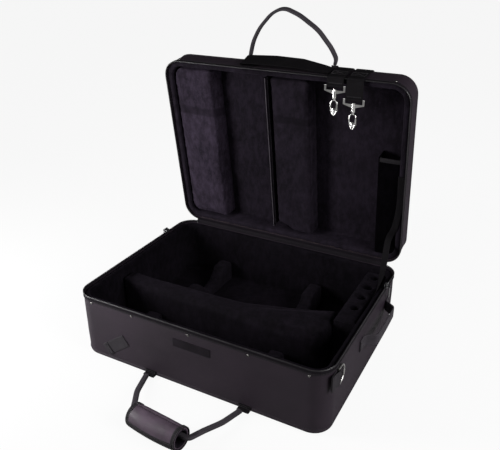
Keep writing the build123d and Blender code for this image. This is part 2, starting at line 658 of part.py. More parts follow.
with BuildPart() as grip_flap:
    with BuildSketch(grip_end):
        ring_part(WRAP_R + GRIP_CLEAR, GRIP_R, FLAP_FROM + SLOPE, FLAP_TO + SLOPE)
        with PolarLocations(GRIP_R - GRIP_PLY / 2, 1, start_angle=FLAP_FROM + SLOPE):
            Circle(GRIP_PLY / 2)
    extrude(amount=GRIP_L)
grip_flap.part.label = "grip_flap"
export_step(grip_flap.part, "parts/grip_flap.step")


# ---- Base interior ---------------------------------------------------------------------------
def block_outline(low, high):
    """Rectangle between two corners of the sketch."""
    with Locations(((low[0] + high[0]) / 2, (low[1] + high[1]) / 2)):
        Rectangle(high[0] - low[0], high[1] - low[1])


def room(foot, height):
    """Space inside a half's lining, clear of its walls and of its rounded floor edge."""
    with BuildPart() as space:
        with BuildSketch(foot.offset(LINING_FLOOR)):
            RectangleRounded(*outline(LINING_IN + LINING_GAP))
        extrude(amount=height - LINING_FLOOR)
        fillet(space.faces().sort_by(Axis(foot.origin, foot.z_dir))[0].edges(), radius=LINING_FLOOR_R)
    return space.part


base_room = room(Plane.XY, BASE_H)
lid_room = room(LID_FOOT, LID_H)

with BuildPart() as centre_divider:
    with BuildSketch(Plane.XY.offset(LINING_FLOOR)):
        Polygon(*DIVIDER_PLAN, align=None)
    extrude(amount=DIVIDER_TOP - LINING_FLOOR)
    fillet(centre_divider.faces().sort_by(Axis.Z)[-1].edges(), radius=BLOCK_R)
    add(base_room, mode=Mode.INTERSECT)
centre_divider.part.label = "centre_divider"
export_step(centre_divider.part, "parts/centre_divider.step")

cradles = [(*cradle, TRUMPET_Y, TRUMPET_SPAN) for cradle in TRUMPET_CRADLES]
cradles += [(*cradle, FLUGEL_Y, FLUGEL_SPAN) for cradle in FLUGEL_CRADLES]
for name, x, groove_r, y, span in cradles:
    with BuildPart() as cradle:
        with BuildSketch(Plane.YZ.offset(x)):
            block_outline((y - span / 2, LINING_FLOOR), (y + span / 2, CRADLE_TOP))
            with Locations((y, CRADLE_TOP + groove_r - groove_r * GROOVE_SINK)):
                Circle(groove_r, mode=Mode.SUBTRACT)
        extrude(amount=CRADLE_T / 2, both=True)
        fillet(cradle.faces().filter_by(GeomType.CYLINDER).edges().filter_by(GeomType.CIRCLE), radius=CROWN)
        add(base_room, mode=Mode.INTERSECT)
    cradle.part.label = name
    export_step(cradle.part, f"parts/{name}.step")

with BuildPart() as mouthpiece_holder:
    with BuildSketch(Plane.XY.offset(LINING_FLOOR)):
        block_outline((HOLDER_X[0], HOLDER_Y[0]), (HOLDER_X[1], HOLDER_Y[1]))
    extrude(amount=HOLDER_TOP - LINING_FLOOR)
    fillet(mouthpiece_holder.edges().filter_by(Axis.Z), radius=BLOCK_R)
    fillet(mouthpiece_holder.faces().sort_by(Axis.Z)[-1].edges(), radius=CROWN)
    add(base_room, mode=Mode.INTERSECT)
    with BuildSketch(Plane.XY.offset(HOLDER_TOP)):
        for place in range(HOLDER_COUNT):
            with Locations((sum(HOLDER_X) / 2, HOLDER_BORE_Y0 + place * HOLDER_PITCH)):
                Circle(HOLDER_BORE_R)
    extrude(amount=LINING_FLOOR - HOLDER_TOP, mode=Mode.SUBTRACT)
mouthpiece_holder.part.label = "mouthpiece_holder"
export_step(mouthpiece_holder.part, "parts/mouthpiece_holder.step")

# ---- Lid interior: padded blocks with a crowned face, a thin divider and the pocket ----------
END_Y = INNER_Y - LID_END_GAP

with BuildPart() as lid_left_block:
    with BuildSketch(lid_along(END_Y)):
        with BuildLine():
            Polyline(
                (-INNER_X, LID_BLOCK_D + CROWN),
                (-INNER_X, LID_FLOOR_D),
                (LEFT_BLOCK_X + LEFT_BLOCK_SLOPE, LID_FLOOR_D),
                (LEFT_BLOCK_X, LID_BLOCK_D + CROWN),
            )
            ThreePointArc(
                (LEFT_BLOCK_X, LID_BLOCK_D + CROWN),
                ((LEFT_BLOCK_X - INNER_X) / 2, LID_BLOCK_D),
                (-INNER_X, LID_BLOCK_D + CROWN),
            )
        make_face()
    extrude(amount=2 * END_Y)
    add(lid_room, mode=Mode.INTERSECT)
lid_left_block.part.label = "lid_left_block"
export_step(lid_left_block.part, "parts/lid_left_block.step")

with BuildPart() as lid_beam:
    with BuildSketch(lid_along(END_Y)):
        with BuildLine():
            Polyline(
                (BEAM_X[0], LID_BLOCK_D + CROWN),
                (BEAM_X[0], LID_FLOOR_D),
                (BEAM_X[1], LID_FLOOR_D),
                (BEAM_X[1], LID_BLOCK_D + CROWN),
            )
            ThreePointArc(
                (BEAM_X[1], LID_BLOCK_D + CROWN),
                (sum(BEAM_X) / 2, LID_BLOCK_D),
                (BEAM_X[0], LID_BLOCK_D + CROWN),
            )
        make_face()
    extrude(amount=2 * END_Y)
    with BuildSketch(LID):
        Polygon(
            (BEAM_X[0] - 1, END_Y - BEAM_CUT[1]),
            (BEAM_X[0] - 1, END_Y + 1),
            (BEAM_X[0] + BEAM_CUT[0], END_Y + 1),
            align=None,
        )
    extrude(amount=LID_H, mode=Mode.SUBTRACT)
    add(lid_room, mode=Mode.INTERSECT)
lid_beam.part.label = "lid_beam"
export_step(lid_beam.part, "parts/lid_beam.step")

DIVIDER_Y = (-END_Y, END_Y - LID_DIVIDER_STOP)
with BuildPart() as lid_divider:
    with BuildSketch(LID.offset(LID_DIVIDER_D)):
        block_outline((LID_DIVIDER_X, DIVIDER_Y[0]), (LID_DIVIDER_X + LID_DIVIDER_T, DIVIDER_Y[1]))
    extrude(amount=LID_FLOOR_D - LID_DIVIDER_D)
    add(lid_room, mode=Mode.INTERSECT)
lid_divider.part.label = "lid_divider"
export_step(lid_divider.part, "parts/lid_divider.step")

with BuildPart() as lid_divider_binding:
    with BuildSketch(lid_along(DIVIDER_Y[1])):
        block_outline(
            (LID_DIVIDER_X - BINDING_T, LID_DIVIDER_D - BINDING_T),
            (LID_DIVIDER_X + LID_DIVIDER_T + BINDING_T, LID_DIVIDER_D + BINDING_W),
        )
        with Locations((LID_DIVIDER_X + LID_DIVIDER_T / 2, LID_DIVIDER_D + BINDING_W)):
            Rectangle(LID_DIVIDER_T, 2 * BINDING_W, mode=Mode.SUBTRACT)
    extrude(amount=DIVIDER_Y[1] - DIVIDER_Y[0])
lid_divider_binding.part.label = "lid_divider_binding"
export_step(lid_divider_binding.part, "parts/lid_divider_binding.step")

with BuildPart() as lid_accessory_box:
    far_x, far_y = CASE_L, CASE_W
    with BuildSketch(LID.offset(POCKET_D)):
        block_outline((POCKET_X, POCKET_TOP_Y), (far_x, far_y))
    extrude(amount=LID_FLOOR_D - POCKET_D)
    add(lid_room, mode=Mode.INTERSECT)
    with BuildSketch(LID.offset(POCKET_D + POCKET_T)):
        block_outline((POCKET_X + POCKET_T, POCKET_TOP_Y - POCKET_T), (far_x, far_y))
    extrude(amount=LID_H, mode=Mode.SUBTRACT)
lid_accessory_box.part.label = "lid_accessory_box"
export_step(lid_accessory_box.part, "parts/lid_accessory_box.step")

with BuildPart() as lid_pocket_binding:
    with BuildSketch(lid_across(POCKET_X + POCKET_T + BINDING_T)):
        block_outline(
            (POCKET_TOP_Y - BINDING_T, POCKET_D - BINDING_T),
            (POCKET_TOP_Y + BINDING_W, POCKET_D + POCKET_T + BINDING_T),
        )
        with Locations((POCKET_TOP_Y + BINDING_W, POCKET_D + POCKET_T / 2)):
            Rectangle(2 * BINDING_W, POCKET_T, mode=Mode.SUBTRACT)
    extrude(amount=INNER_X - LINING_GAP - POCKET_X - POCKET_T - BINDING_T)
lid_pocket_binding.part.label = "lid_pocket_binding"
export_step(lid_pocket_binding.part, "parts/lid_pocket_binding.step")

# ---- Shoulder strap: a loop round each hook's bar, over the rim and across the outer face ----
RIM_D = PARTING_GAP / 2 - STRAP_OFF - STRAP_T  # middle of the double webbing on the chain's crest
WALL_Y = FRONT_Y - CHAIN_OUT - STRAP_OFF  # webbing's inner face down the front wall
INSIDE_Y = FRONT_Y + CHAIN_IN + STRAP_T
TOP_D = LID_H + STRAP_OFF + STRAP_T / 2
BARS = [
    (INSIDE_Y + drop * DOWN_IN_LID[0], RIM_D + drop * DOWN_IN_LID[1]) for drop in STRAP_DROPS
]

with BuildPart() as shoulder_strap:
    for x, bar in zip(STRAP_XS, BARS):
        with BuildSketch(lid_across(x)):
            with BuildLine():
                FilletPolyline(
                    (WALL_Y - STRAP_T, RIM_D + STRAP_TAIL), (WALL_Y - STRAP_T, RIM_D), (INSIDE_Y, RIM_D), bar,
                    radius=STRAP_RIM_R,
                )
            trace(line_width=2 * STRAP_T)
            with Locations(bar):
                Circle(BAR_R + EYE_CLEAR + STRAP_T)
                Circle(BAR_R + EYE_CLEAR, mode=Mode.SUBTRACT)
        extrude(amount=STRAP_W / 2, both=True)
        with BuildSketch(lid_across(x)):
            with BuildLine():
                FilletPolyline(
                    (WALL_Y - STRAP_T / 2, RIM_D + STRAP_TAIL / 2),
                    (WALL_Y - STRAP_T / 2, TOP_D),
                    (STRAP_LEG_END_Y + STRAP_W / 2, TOP_D),
                    radius=EDGE_R + CHAIN_OUT + STRAP_OFF + STRAP_T / 2,
                )
            trace(line_width=STRAP_T)
        extrude(amount=STRAP_W / 2, both=True)
    with BuildSketch(LID.offset(TOP_D + STRAP_T / 2)):
        with Locations((sum(STRAP_XS) / 2, STRAP_LEG_END_Y)):
            Rectangle(STRAP_XS[1] - STRAP_XS[0] + STRAP_W, STRAP_W)
    extrude(amount=STRAP_T)
shoulder_strap.part.label = "shoulder_strap"
export_step(shoulder_strap.part, "parts/shoulder_strap.step")

with BuildPart() as strap_adjuster:
    with BuildSketch(LID.offset(TOP_D + STRAP_T / 2)):
        with Locations((STRAP_XS[1], ADJUSTER_Y)):
            RectangleRounded(STRAP_W + 2 * ADJUSTER_OVER, ADJUSTER_L, ADJUSTER_OVER)
            with GridLocations(0, ADJUSTER_SLOT + ADJUSTER_BAR, 1, 2):
                Rectangle(STRAP_W, ADJUSTER_SLOT, mode=Mode.SUBTRACT)
    extrude(amount=ADJUSTER_T)
    fillet(strap_adjuster.faces().sort_by(Axis(LID.origin, LID.z_dir))[-1].outer_wire().edges(), radius=ADJUSTER_T / 3)
strap_adjuster.part.label = "strap_adjuster"
export_step(strap_adjuster.part, "parts/strap_adjuster.step")

# ---- Swivel snap hooks, hanging plumb from their bars ----------------------------------------
FRAME_HALF = STRAP_W / 2 + EYE_CLEAR + FRAME_SIDE
HOOK_SIDE = (HOOK_W - HOOK_WIRE) / 2  # middle of the hook's gate side off its axis
for number, (x, bar) in enumerate(zip(STRAP_XS, BARS), start=1):
    # Drawn across and upwards from the middle of the bar, facing the front.
    hang = Plane(LID.from_local_coords((x, *bar)), x_dir=(1, 0, 0), z_dir=(0, -1, 0))
    above = Plane(hang.origin, x_dir=hang.x_dir, z_dir=hang.y_dir)

    with BuildPart() as hook_frame:
        with BuildSketch(hang):
            Polygon(
                (-FRAME_HALF, 0), (-FRAME_HALF, -FRAME_ARM), (-BOSS_R, -BOSS_TOP), (BOSS_R, -BOSS_TOP),
                (FRAME_HALF, -FRAME_ARM), (FRAME_HALF, 0), align=None,
            )
            with Locations((0, -FRAME_WINDOW / 2)):
                Rectangle(2 * (FRAME_HALF - FRAME_SIDE), FRAME_WINDOW, mode=Mode.SUBTRACT)
        extrude(amount=FRAME_DEPTH / 2, both=True)
        with BuildSketch(Plane(hang.origin, x_dir=hang.y_dir, z_dir=hang.x_dir)):
            Circle(BAR_R)
        extrude(amount=FRAME_HALF, both=True)
        with BuildSketch(above.offset(-FRAME_WINDOW)):
            Circle(BOSS_R)
        extrude(amount=FRAME_WINDOW - BOSS_END)
        with BuildSketch(above.offset(-FRAME_WINDOW)):
            Circle(POST_R + POST_CLEAR)
        extrude(amount=FRAME_WINDOW - BOSS_END, mode=Mode.SUBTRACT)
    hook_frame.part.label = f"hook_frame_{number}"
    export_step(hook_frame.part, f"parts/hook_frame_{number}.step")

    with BuildPart() as hook_body:
        with BuildSketch(above.offset(POST_CLEAR - FRAME_WINDOW)):
            Circle(COLLAR_R)
        extrude(amount=COLLAR_T)
        with BuildSketch(above.offset(POST_CLEAR - FRAME_WINDOW)):
            Circle(POST_R)
        extrude(amount=FRAME_WINDOW - HOOK_TOP - HOOK_WIRE / 2)
        with BuildSketch(above.offset(-BOSS_END - POST_CLEAR)):
            Circle(COLLAR_R)
        extrude(amount=BOSS_END - HOOK_TOP - HOOK_WIRE / 2)
        with BuildSketch(hang):
            with Locations((0, -(HOOK_TOP + HOOK_END) / 2)):
                SlotOverall(HOOK_END - HOOK_TOP, HOOK_W, rotation=90)
                SlotOverall(HOOK_END - HOOK_TOP - 2 * HOOK_WIRE, HOOK_W - 2 * HOOK_WIRE, rotation=90, mode=Mode.SUBTRACT)
            with Locations((HOOK_SIDE, -(GATE_TOP + GATE_PIN) / 2)):
                Rectangle(HOOK_WIRE + 1, GATE_PIN - GATE_TOP, mode=Mode.SUBTRACT)
            with Locations((HOOK_SIDE, -GATE_PIN)):
                Circle(HOOK_WIRE / 2)
        extrude(amount=HOOK_T / 2, both=True)
        with BuildSketch(hang):
            with Locations((HOOK_SIDE, -GATE_PIN)):
                Circle(HOOK_WIRE / 2 + GATE_CLEAR)
                Rectangle(HOOK_WIRE + 2, HOOK_WIRE, mode=Mode.ADD)
        extrude(amount=GATE_TANG / 2 + GATE_CLEAR, both=True, mode=Mode.SUBTRACT)
        with BuildSketch(hang):
            with Locations((HOOK_SIDE, -GATE_PIN)):
                Circle(GATE_PIN_R)
        extrude(amount=HOOK_T / 2, both=True)
    hook_body.part.label = f"hook_body_{number}"
    export_step(hook_body.part, f"parts/hook_body_{number}.step")

    with BuildPart() as hook_gate:
        with BuildSketch(hang):
            with Locations((HOOK_SIDE, -GATE_PIN)):
                Circle(HOOK_WIRE / 2 - GATE_CLEAR)
            with Locations((HOOK_SIDE, -(GATE_TOP + GATE_PIN + GATE_CLEAR) / 2)):
                Rectangle(GATE_W, GATE_PIN - GATE_TOP - GATE_CLEAR)
        extrude(amount=GATE_TANG / 2, both=True)
        with BuildSketch(hang):
            with Locations((HOOK_SIDE, -(GATE_TOP + GATE_CLEAR + GATE_PIN - HOOK_WIRE / 2 - GATE_CLEAR) / 2)):
                Rectangle(GATE_W, GATE_PIN - HOOK_WIRE / 2 - GATE_TOP - 2 * GATE_CLEAR)
        extrude(amount=GATE_T / 2, both=True)
        with BuildSketch(hang):
            with Locations((HOOK_SIDE, -GATE_PIN)):
                Circle(GATE_PIN_R + POST_CLEAR)
        extrude(amount=HOOK_T, both=True, mode=Mode.SUBTRACT)
    hook_gate.part.label = f"hook_gate_{number}"
    export_step(hook_gate.part, f"parts/hook_gate_{number}.step")

# ---- Lid stay: slack webbing from the lid's right lip down inside the base's right wall ------
with BuildPart() as lid_stay:
    spine = []
    for x, s, d in STAY_ON_LID:
        spine.append((LID.from_local_coords((x, HINGE_Y - s, d)), Vector(1, 0, 0)))
    for x, y, z, turn in STAY_IN_BASE:
        spine.append((Vector(x, y, z), Vector(cos(radians(turn)), 0, sin(radians(turn)))))
    for index, (point, across) in enumerate(spine):
        before = spine[max(index - 1, 0)][0]
        after = spine[min(index + 1, len(spine) - 1)][0]
        along = (after - before).normalized()
        flat = (across - along * across.dot(along)).normalized()
        with BuildSketch(Plane(point, x_dir=flat, z_dir=along)):
            Rectangle(STAY_W, STAY_T)
    loft(ruled=True)
lid_stay.part.label = "lid_stay"
export_step(lid_stay.part, "parts/lid_stay.step")
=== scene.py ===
"""Open double case for a trumpet and a flugelhorn, dressed in fabric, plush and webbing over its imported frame.

Lengths in the geometry code are millimetres in the part's frame and become metres when a mesh is made.
"""

from math import cos, radians, sin

import bmesh
import bpy
import numpy as np
from mathutils import Matrix


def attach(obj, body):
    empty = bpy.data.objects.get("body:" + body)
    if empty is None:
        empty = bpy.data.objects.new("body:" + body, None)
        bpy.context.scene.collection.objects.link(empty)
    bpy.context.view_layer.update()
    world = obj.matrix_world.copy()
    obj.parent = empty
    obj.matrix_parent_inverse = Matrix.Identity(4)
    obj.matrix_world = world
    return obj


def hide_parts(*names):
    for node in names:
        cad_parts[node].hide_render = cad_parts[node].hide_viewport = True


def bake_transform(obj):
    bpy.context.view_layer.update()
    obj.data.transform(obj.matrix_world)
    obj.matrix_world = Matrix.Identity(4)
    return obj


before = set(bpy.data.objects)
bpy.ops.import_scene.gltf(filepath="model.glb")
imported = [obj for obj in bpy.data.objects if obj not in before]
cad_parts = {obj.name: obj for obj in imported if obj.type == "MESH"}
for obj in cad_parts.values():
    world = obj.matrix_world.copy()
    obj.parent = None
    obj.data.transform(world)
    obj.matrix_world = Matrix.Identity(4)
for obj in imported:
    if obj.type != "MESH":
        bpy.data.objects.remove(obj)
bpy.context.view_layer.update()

bl_info = {
    "name": "Open instrument case",
    "version": (1, 0, 0),
    "blender": (4, 5, 0),
    "location": "3D View > Sidebar > Case",
    "description": "Builds the fabric, lining, webbing, zip and looks of an open padded case",
    "category": "Object",
}

MM = 0.001

# ---- Sizes repeated from the CAD part, mm ----------------------------------------------------
CASE_L, CASE_W, BASE_H, LID_H = 558.0, 413.0, 145.0, 62.0
CORNER_R, EDGE_R = 38.0, 6.0
MIDDLE_IN = 37.6  # how far in from the walls a shell's flat middle begins
HINGE_Y, HINGE_Z, LID_OPEN = 208.1, 146.7, radians(81.3)
LID_DEPTH = 60.3  # closed face to the crest of the lid's zip chain
FRONT_Y, END_X = -CASE_W / 2, CASE_L / 2
LIP_DROP, HEM_H, COVER_T = 6.5, 7.5, 1.5  # lip below the chain's crest, hem over the closed face, cloth
LINING_IN, LINING_FLOOR, BOARD_TOP = 13.5, 11.5, 7.5  # in from the wall, then heights over the closed face
INNER_X, INNER_Y = END_X - LINING_IN, CASE_W / 2 - LINING_IN
CHAIN_H, TAPE_H, ZIP_END_X = 2.4, 8.6, 247.0  # the last is how far round from the middle of the back the zip starts
LID_FLOOR_D = LID_H - LINING_FLOOR  # depth of the lining from the parting plane
TOOTH_PITCH, HINGE_END_X = 2.0, 246.5
DIVIDER_TOP, SADDLE_TOP, PAD_FACE_D = 118.5, 62.0, 13.2
BORES_Y = (37.0, 81.0, 125.0, 169.0)
SADDLES = (  # name, middle x, radius of its groove, middle y, span
    ("trumpet_slide_cradle", -170.0, 24.0, -137.0, 108.0),
    ("trumpet_bell_cradle", 128.0, 34.0, -137.0, 108.0),
    ("flugelhorn_bell_cradle", -150.0, 50.0, 101.0, 176.0),
    ("flugelhorn_slide_cradle", 96.0, 36.0, 101.0, 176.0),
)
SIDE_HANDLE_Z, RING_Z = 94.5, 113.0
HOOKS = ((130.5, 13.0), (171.0, 36.0))  # x of each snap hook's strap, and how far its bar hangs below the rim
STRAP_IN_Y, STRAP_IN_D = FRONT_Y + 1.8, 0.2  # where the shoulder strap turns down inside the rim: lid y and depth

# Plane that the base handle lies in: slope, origin, and its ways across, out and up. Then the grip in that plane.
SWING_SLOPE = radians(8.18)
SWING_O = np.array([0.0, FRONT_Y - 8.5, 5.0])
SWING_X, SWING_Y = np.array([1.0, 0, 0]), np.array([0, cos(SWING_SLOPE), -sin(SWING_SLOPE)])
SWING_Z = np.array([0, sin(SWING_SLOPE), cos(SWING_SLOPE)])
GRIP_L, GRIP_SIDE, GRIP_TURN = 111.0, 7.5, radians(-6.2)  # length, webbing off its axis, turn
GRIP_MID = np.array([11.5, -122.0])
BOUND_R, EDGE_TAPE_W = 21.3, 8.2  # radius that the grip's bindings lie at, and their width

HALVES = ("base", "lid")
CLOTH_FRAMES = 20  # length of each padding simulation


# ---- Placing ---------------------------------------------------------------------------------
def stack(*columns):
    """Joins arrays of coordinates into points."""
    return np.stack(np.broadcast_arrays(*[np.asarray(c, float) for c in columns]), -1)


def in_lid(points):
    """Lid points (x, y, depth from the parting plane, as when shut) to where they are with the lid open."""
    p = np.asarray(points, float)
    y, d = p[..., 1] - HINGE_Y, p[..., 2]
    c, s = cos(LID_OPEN), sin(LID_OPEN)
    return stack(p[..., 0], HINGE_Y + y * c + d * s, HINGE_Z - y * s + d * c)


def lid_way(x, y, d):
    """Direction of the lid (x, y, depth) as it points with the lid open."""
    return in_lid((x, y, d)) - in_lid((0.0, 0.0, 0.0))


def in_half(half, points):
    """Points (x, y, height above that half's closed face) to the part's frame."""
    p = np.asarray(points, float)
    return p if half == "base" else in_lid(stack(p[..., 0], p[..., 1], LID_H - p[..., 2]))


def in_swing(points):
    """Points (across, out, up) of the base handle's plane to the part's frame."""
    p = np.asarray(points, float)
    return SWING_O + p[..., 0:1] * SWING_X + p[..., 1:2] * SWING_Y + p[..., 2:3] * SWING_Z


def in_grip(along, radius, angle):
    """Point at a distance along the grip from its middle, a radius and an angle: 0 towards the case, 90 degrees up."""
    turn = angle + SWING_SLOPE
    towards, up = radius * np.cos(turn), radius * np.sin(turn)
    c, s = cos(GRIP_TURN), sin(GRIP_TURN)
    return in_swing(stack(GRIP_MID[0] + along * c - towards * s, GRIP_MID[1] + along * s + towards * c, up))


# ---- Paths -----------------------------------------------------------------------------------
def lengths(path):
    """Distance along a path at each of its points."""
    return np.concatenate([[0.0], np.cumsum(np.linalg.norm(np.diff(path, axis=0), axis=1))])


def sample(at, run, points):
    """Rows of an array read at distances `at`, its own rows being at distances `run`."""
    return np.stack([np.interp(at, run, column) for column in points.T], -1)


def even(path, step):
    """The path with its points a step apart, ends kept."""
    run = lengths(path)
    return sample(np.linspace(0.0, run[-1], max(int(round(run[-1] / step)) + 1, 2)), run, path)


def rounded(corners, radii, step=2.0, closed=False):
    """Path through flat corners, each rounded by an arc that touches both of its sides."""
    pts = np.asarray(corners, float)
    count = len(pts)
    inner = range(count) if closed else range(1, count - 1)
    radii = list(radii) if hasattr(radii, "__len__") else [radii] * len(inner)
    out = [] if closed else [pts[:1]]
    for index, radius in zip(inner, radii):
        here, back, ahead = pts[index], pts[index - 1] - pts[index], pts[(index + 1) % count] - pts[index]
        back, ahead = back / np.linalg.norm(back), ahead / np.linalg.norm(ahead)
        half = np.arccos(np.clip(back @ ahead, -1, 1)) / 2
        middle = here + (back + ahead) / np.linalg.norm(back + ahead) * radius / np.sin(half)
        first, last = here + back * radius / np.tan(half), here + ahead * radius / np.tan(half)
        a, b = first - middle, last - middle
        sweep_angle = np.arccos(np.clip(a @ b / radius**2, -1, 1))
        t = np.linspace(0, 1, max(int(sweep_angle * radius / step), 5) + 1)[:, None]
        out.append(middle + (np.sin((1 - t) * sweep_angle) * a + np.sin(t * sweep_angle) * b) / np.sin(sweep_angle))
    if not closed:
        out.append(pts[-1:])
    return np.concatenate(out)


def ring_of(corners, radii, step=3.0, arc_step=3.0):
    """Closed outline with rounded corners and its points a step apart."""
    ring = rounded(corners, radii, arc_step, closed=True)
    return even(np.vstack([ring, ring[:1]]), step)[:-1]


def through(points, step=2.0):
    """Smooth path through every point: each span is a cubic whose end slopes are its neighbours' chords."""
    p = np.asarray(points, float)
    q = np.concatenate([2 * p[:1] - p[1:2], p, 2 * p[-1:] - p[-2:-1]])
    t = np.linspace(0, 1, 12, endpoint=False)[None, :, None]
    a, b, c, d = (q[k:len(q) - 3 + k, None] for k in range(4))
    spans = 0.5 * (2 * b + (c - a) * t + (2 * a - 5 * b + 4 * c - d) * t**2 + (3 * b - a - 3 * c + d) * t**3)
    return even(np.concatenate([spans.reshape(-1, p.shape[1]), p[-1:]]), step)


def box_outline(step=3.0):
    """Plan of the case from the middle of its back, round by the left: (core, outward normal, distance along).

    A point of the plan moved in or out by an offset is core + (corner radius + offset) x normal.
    """
    x, y, r = END_X, CASE_W / 2, CORNER_R
    ring = rounded([(-x, y), (-x, -y), (x, -y), (x, y)], r, 1.0, closed=True)
    ring = even(np.concatenate([[(0.0, y)], ring, [(0.0, y)]]), step)[:-1]
    core = np.clip(ring, [-x + r, -y + r], [x - r, y - r])
    normal = (ring - core) / np.linalg.norm(ring - core, axis=1)[:, None]
    return core, normal, lengths(ring)


CORE, NORMAL, ROUND = box_outline()
ROUND_L = ROUND[-1] + ROUND[1]
WRAPPED = np.append(ROUND, ROUND_L)
PLAN = np.hstack([CORE, NORMAL])[[*range(len(CORE)), 0]]


def plan_at(run):
    """Core and outward normal of the plan at distances round it."""
    found = sample(run, WRAPPED, PLAN)
    return found[:, :2], found[:, 2:]


def waves(u, v, seed, size, amount):
    """Soft unevenness of stretched cloth: a sum of seeded sine waves about a size long, at most an amount high."""
    rng = np.random.default_rng(seed)
    total = np.zeros(np.broadcast(u, v).shape)
    for turn, phase, scale in zip(rng.uniform(0, np.pi, 7), rng.uniform(0, 6.28, 7), rng.uniform(0.6, 1.7, 7)):
        total += np.sin((u * np.cos(turn) + v * np.sin(turn)) * 6.28 / (size * scale) + phase)
    return amount * total / 7


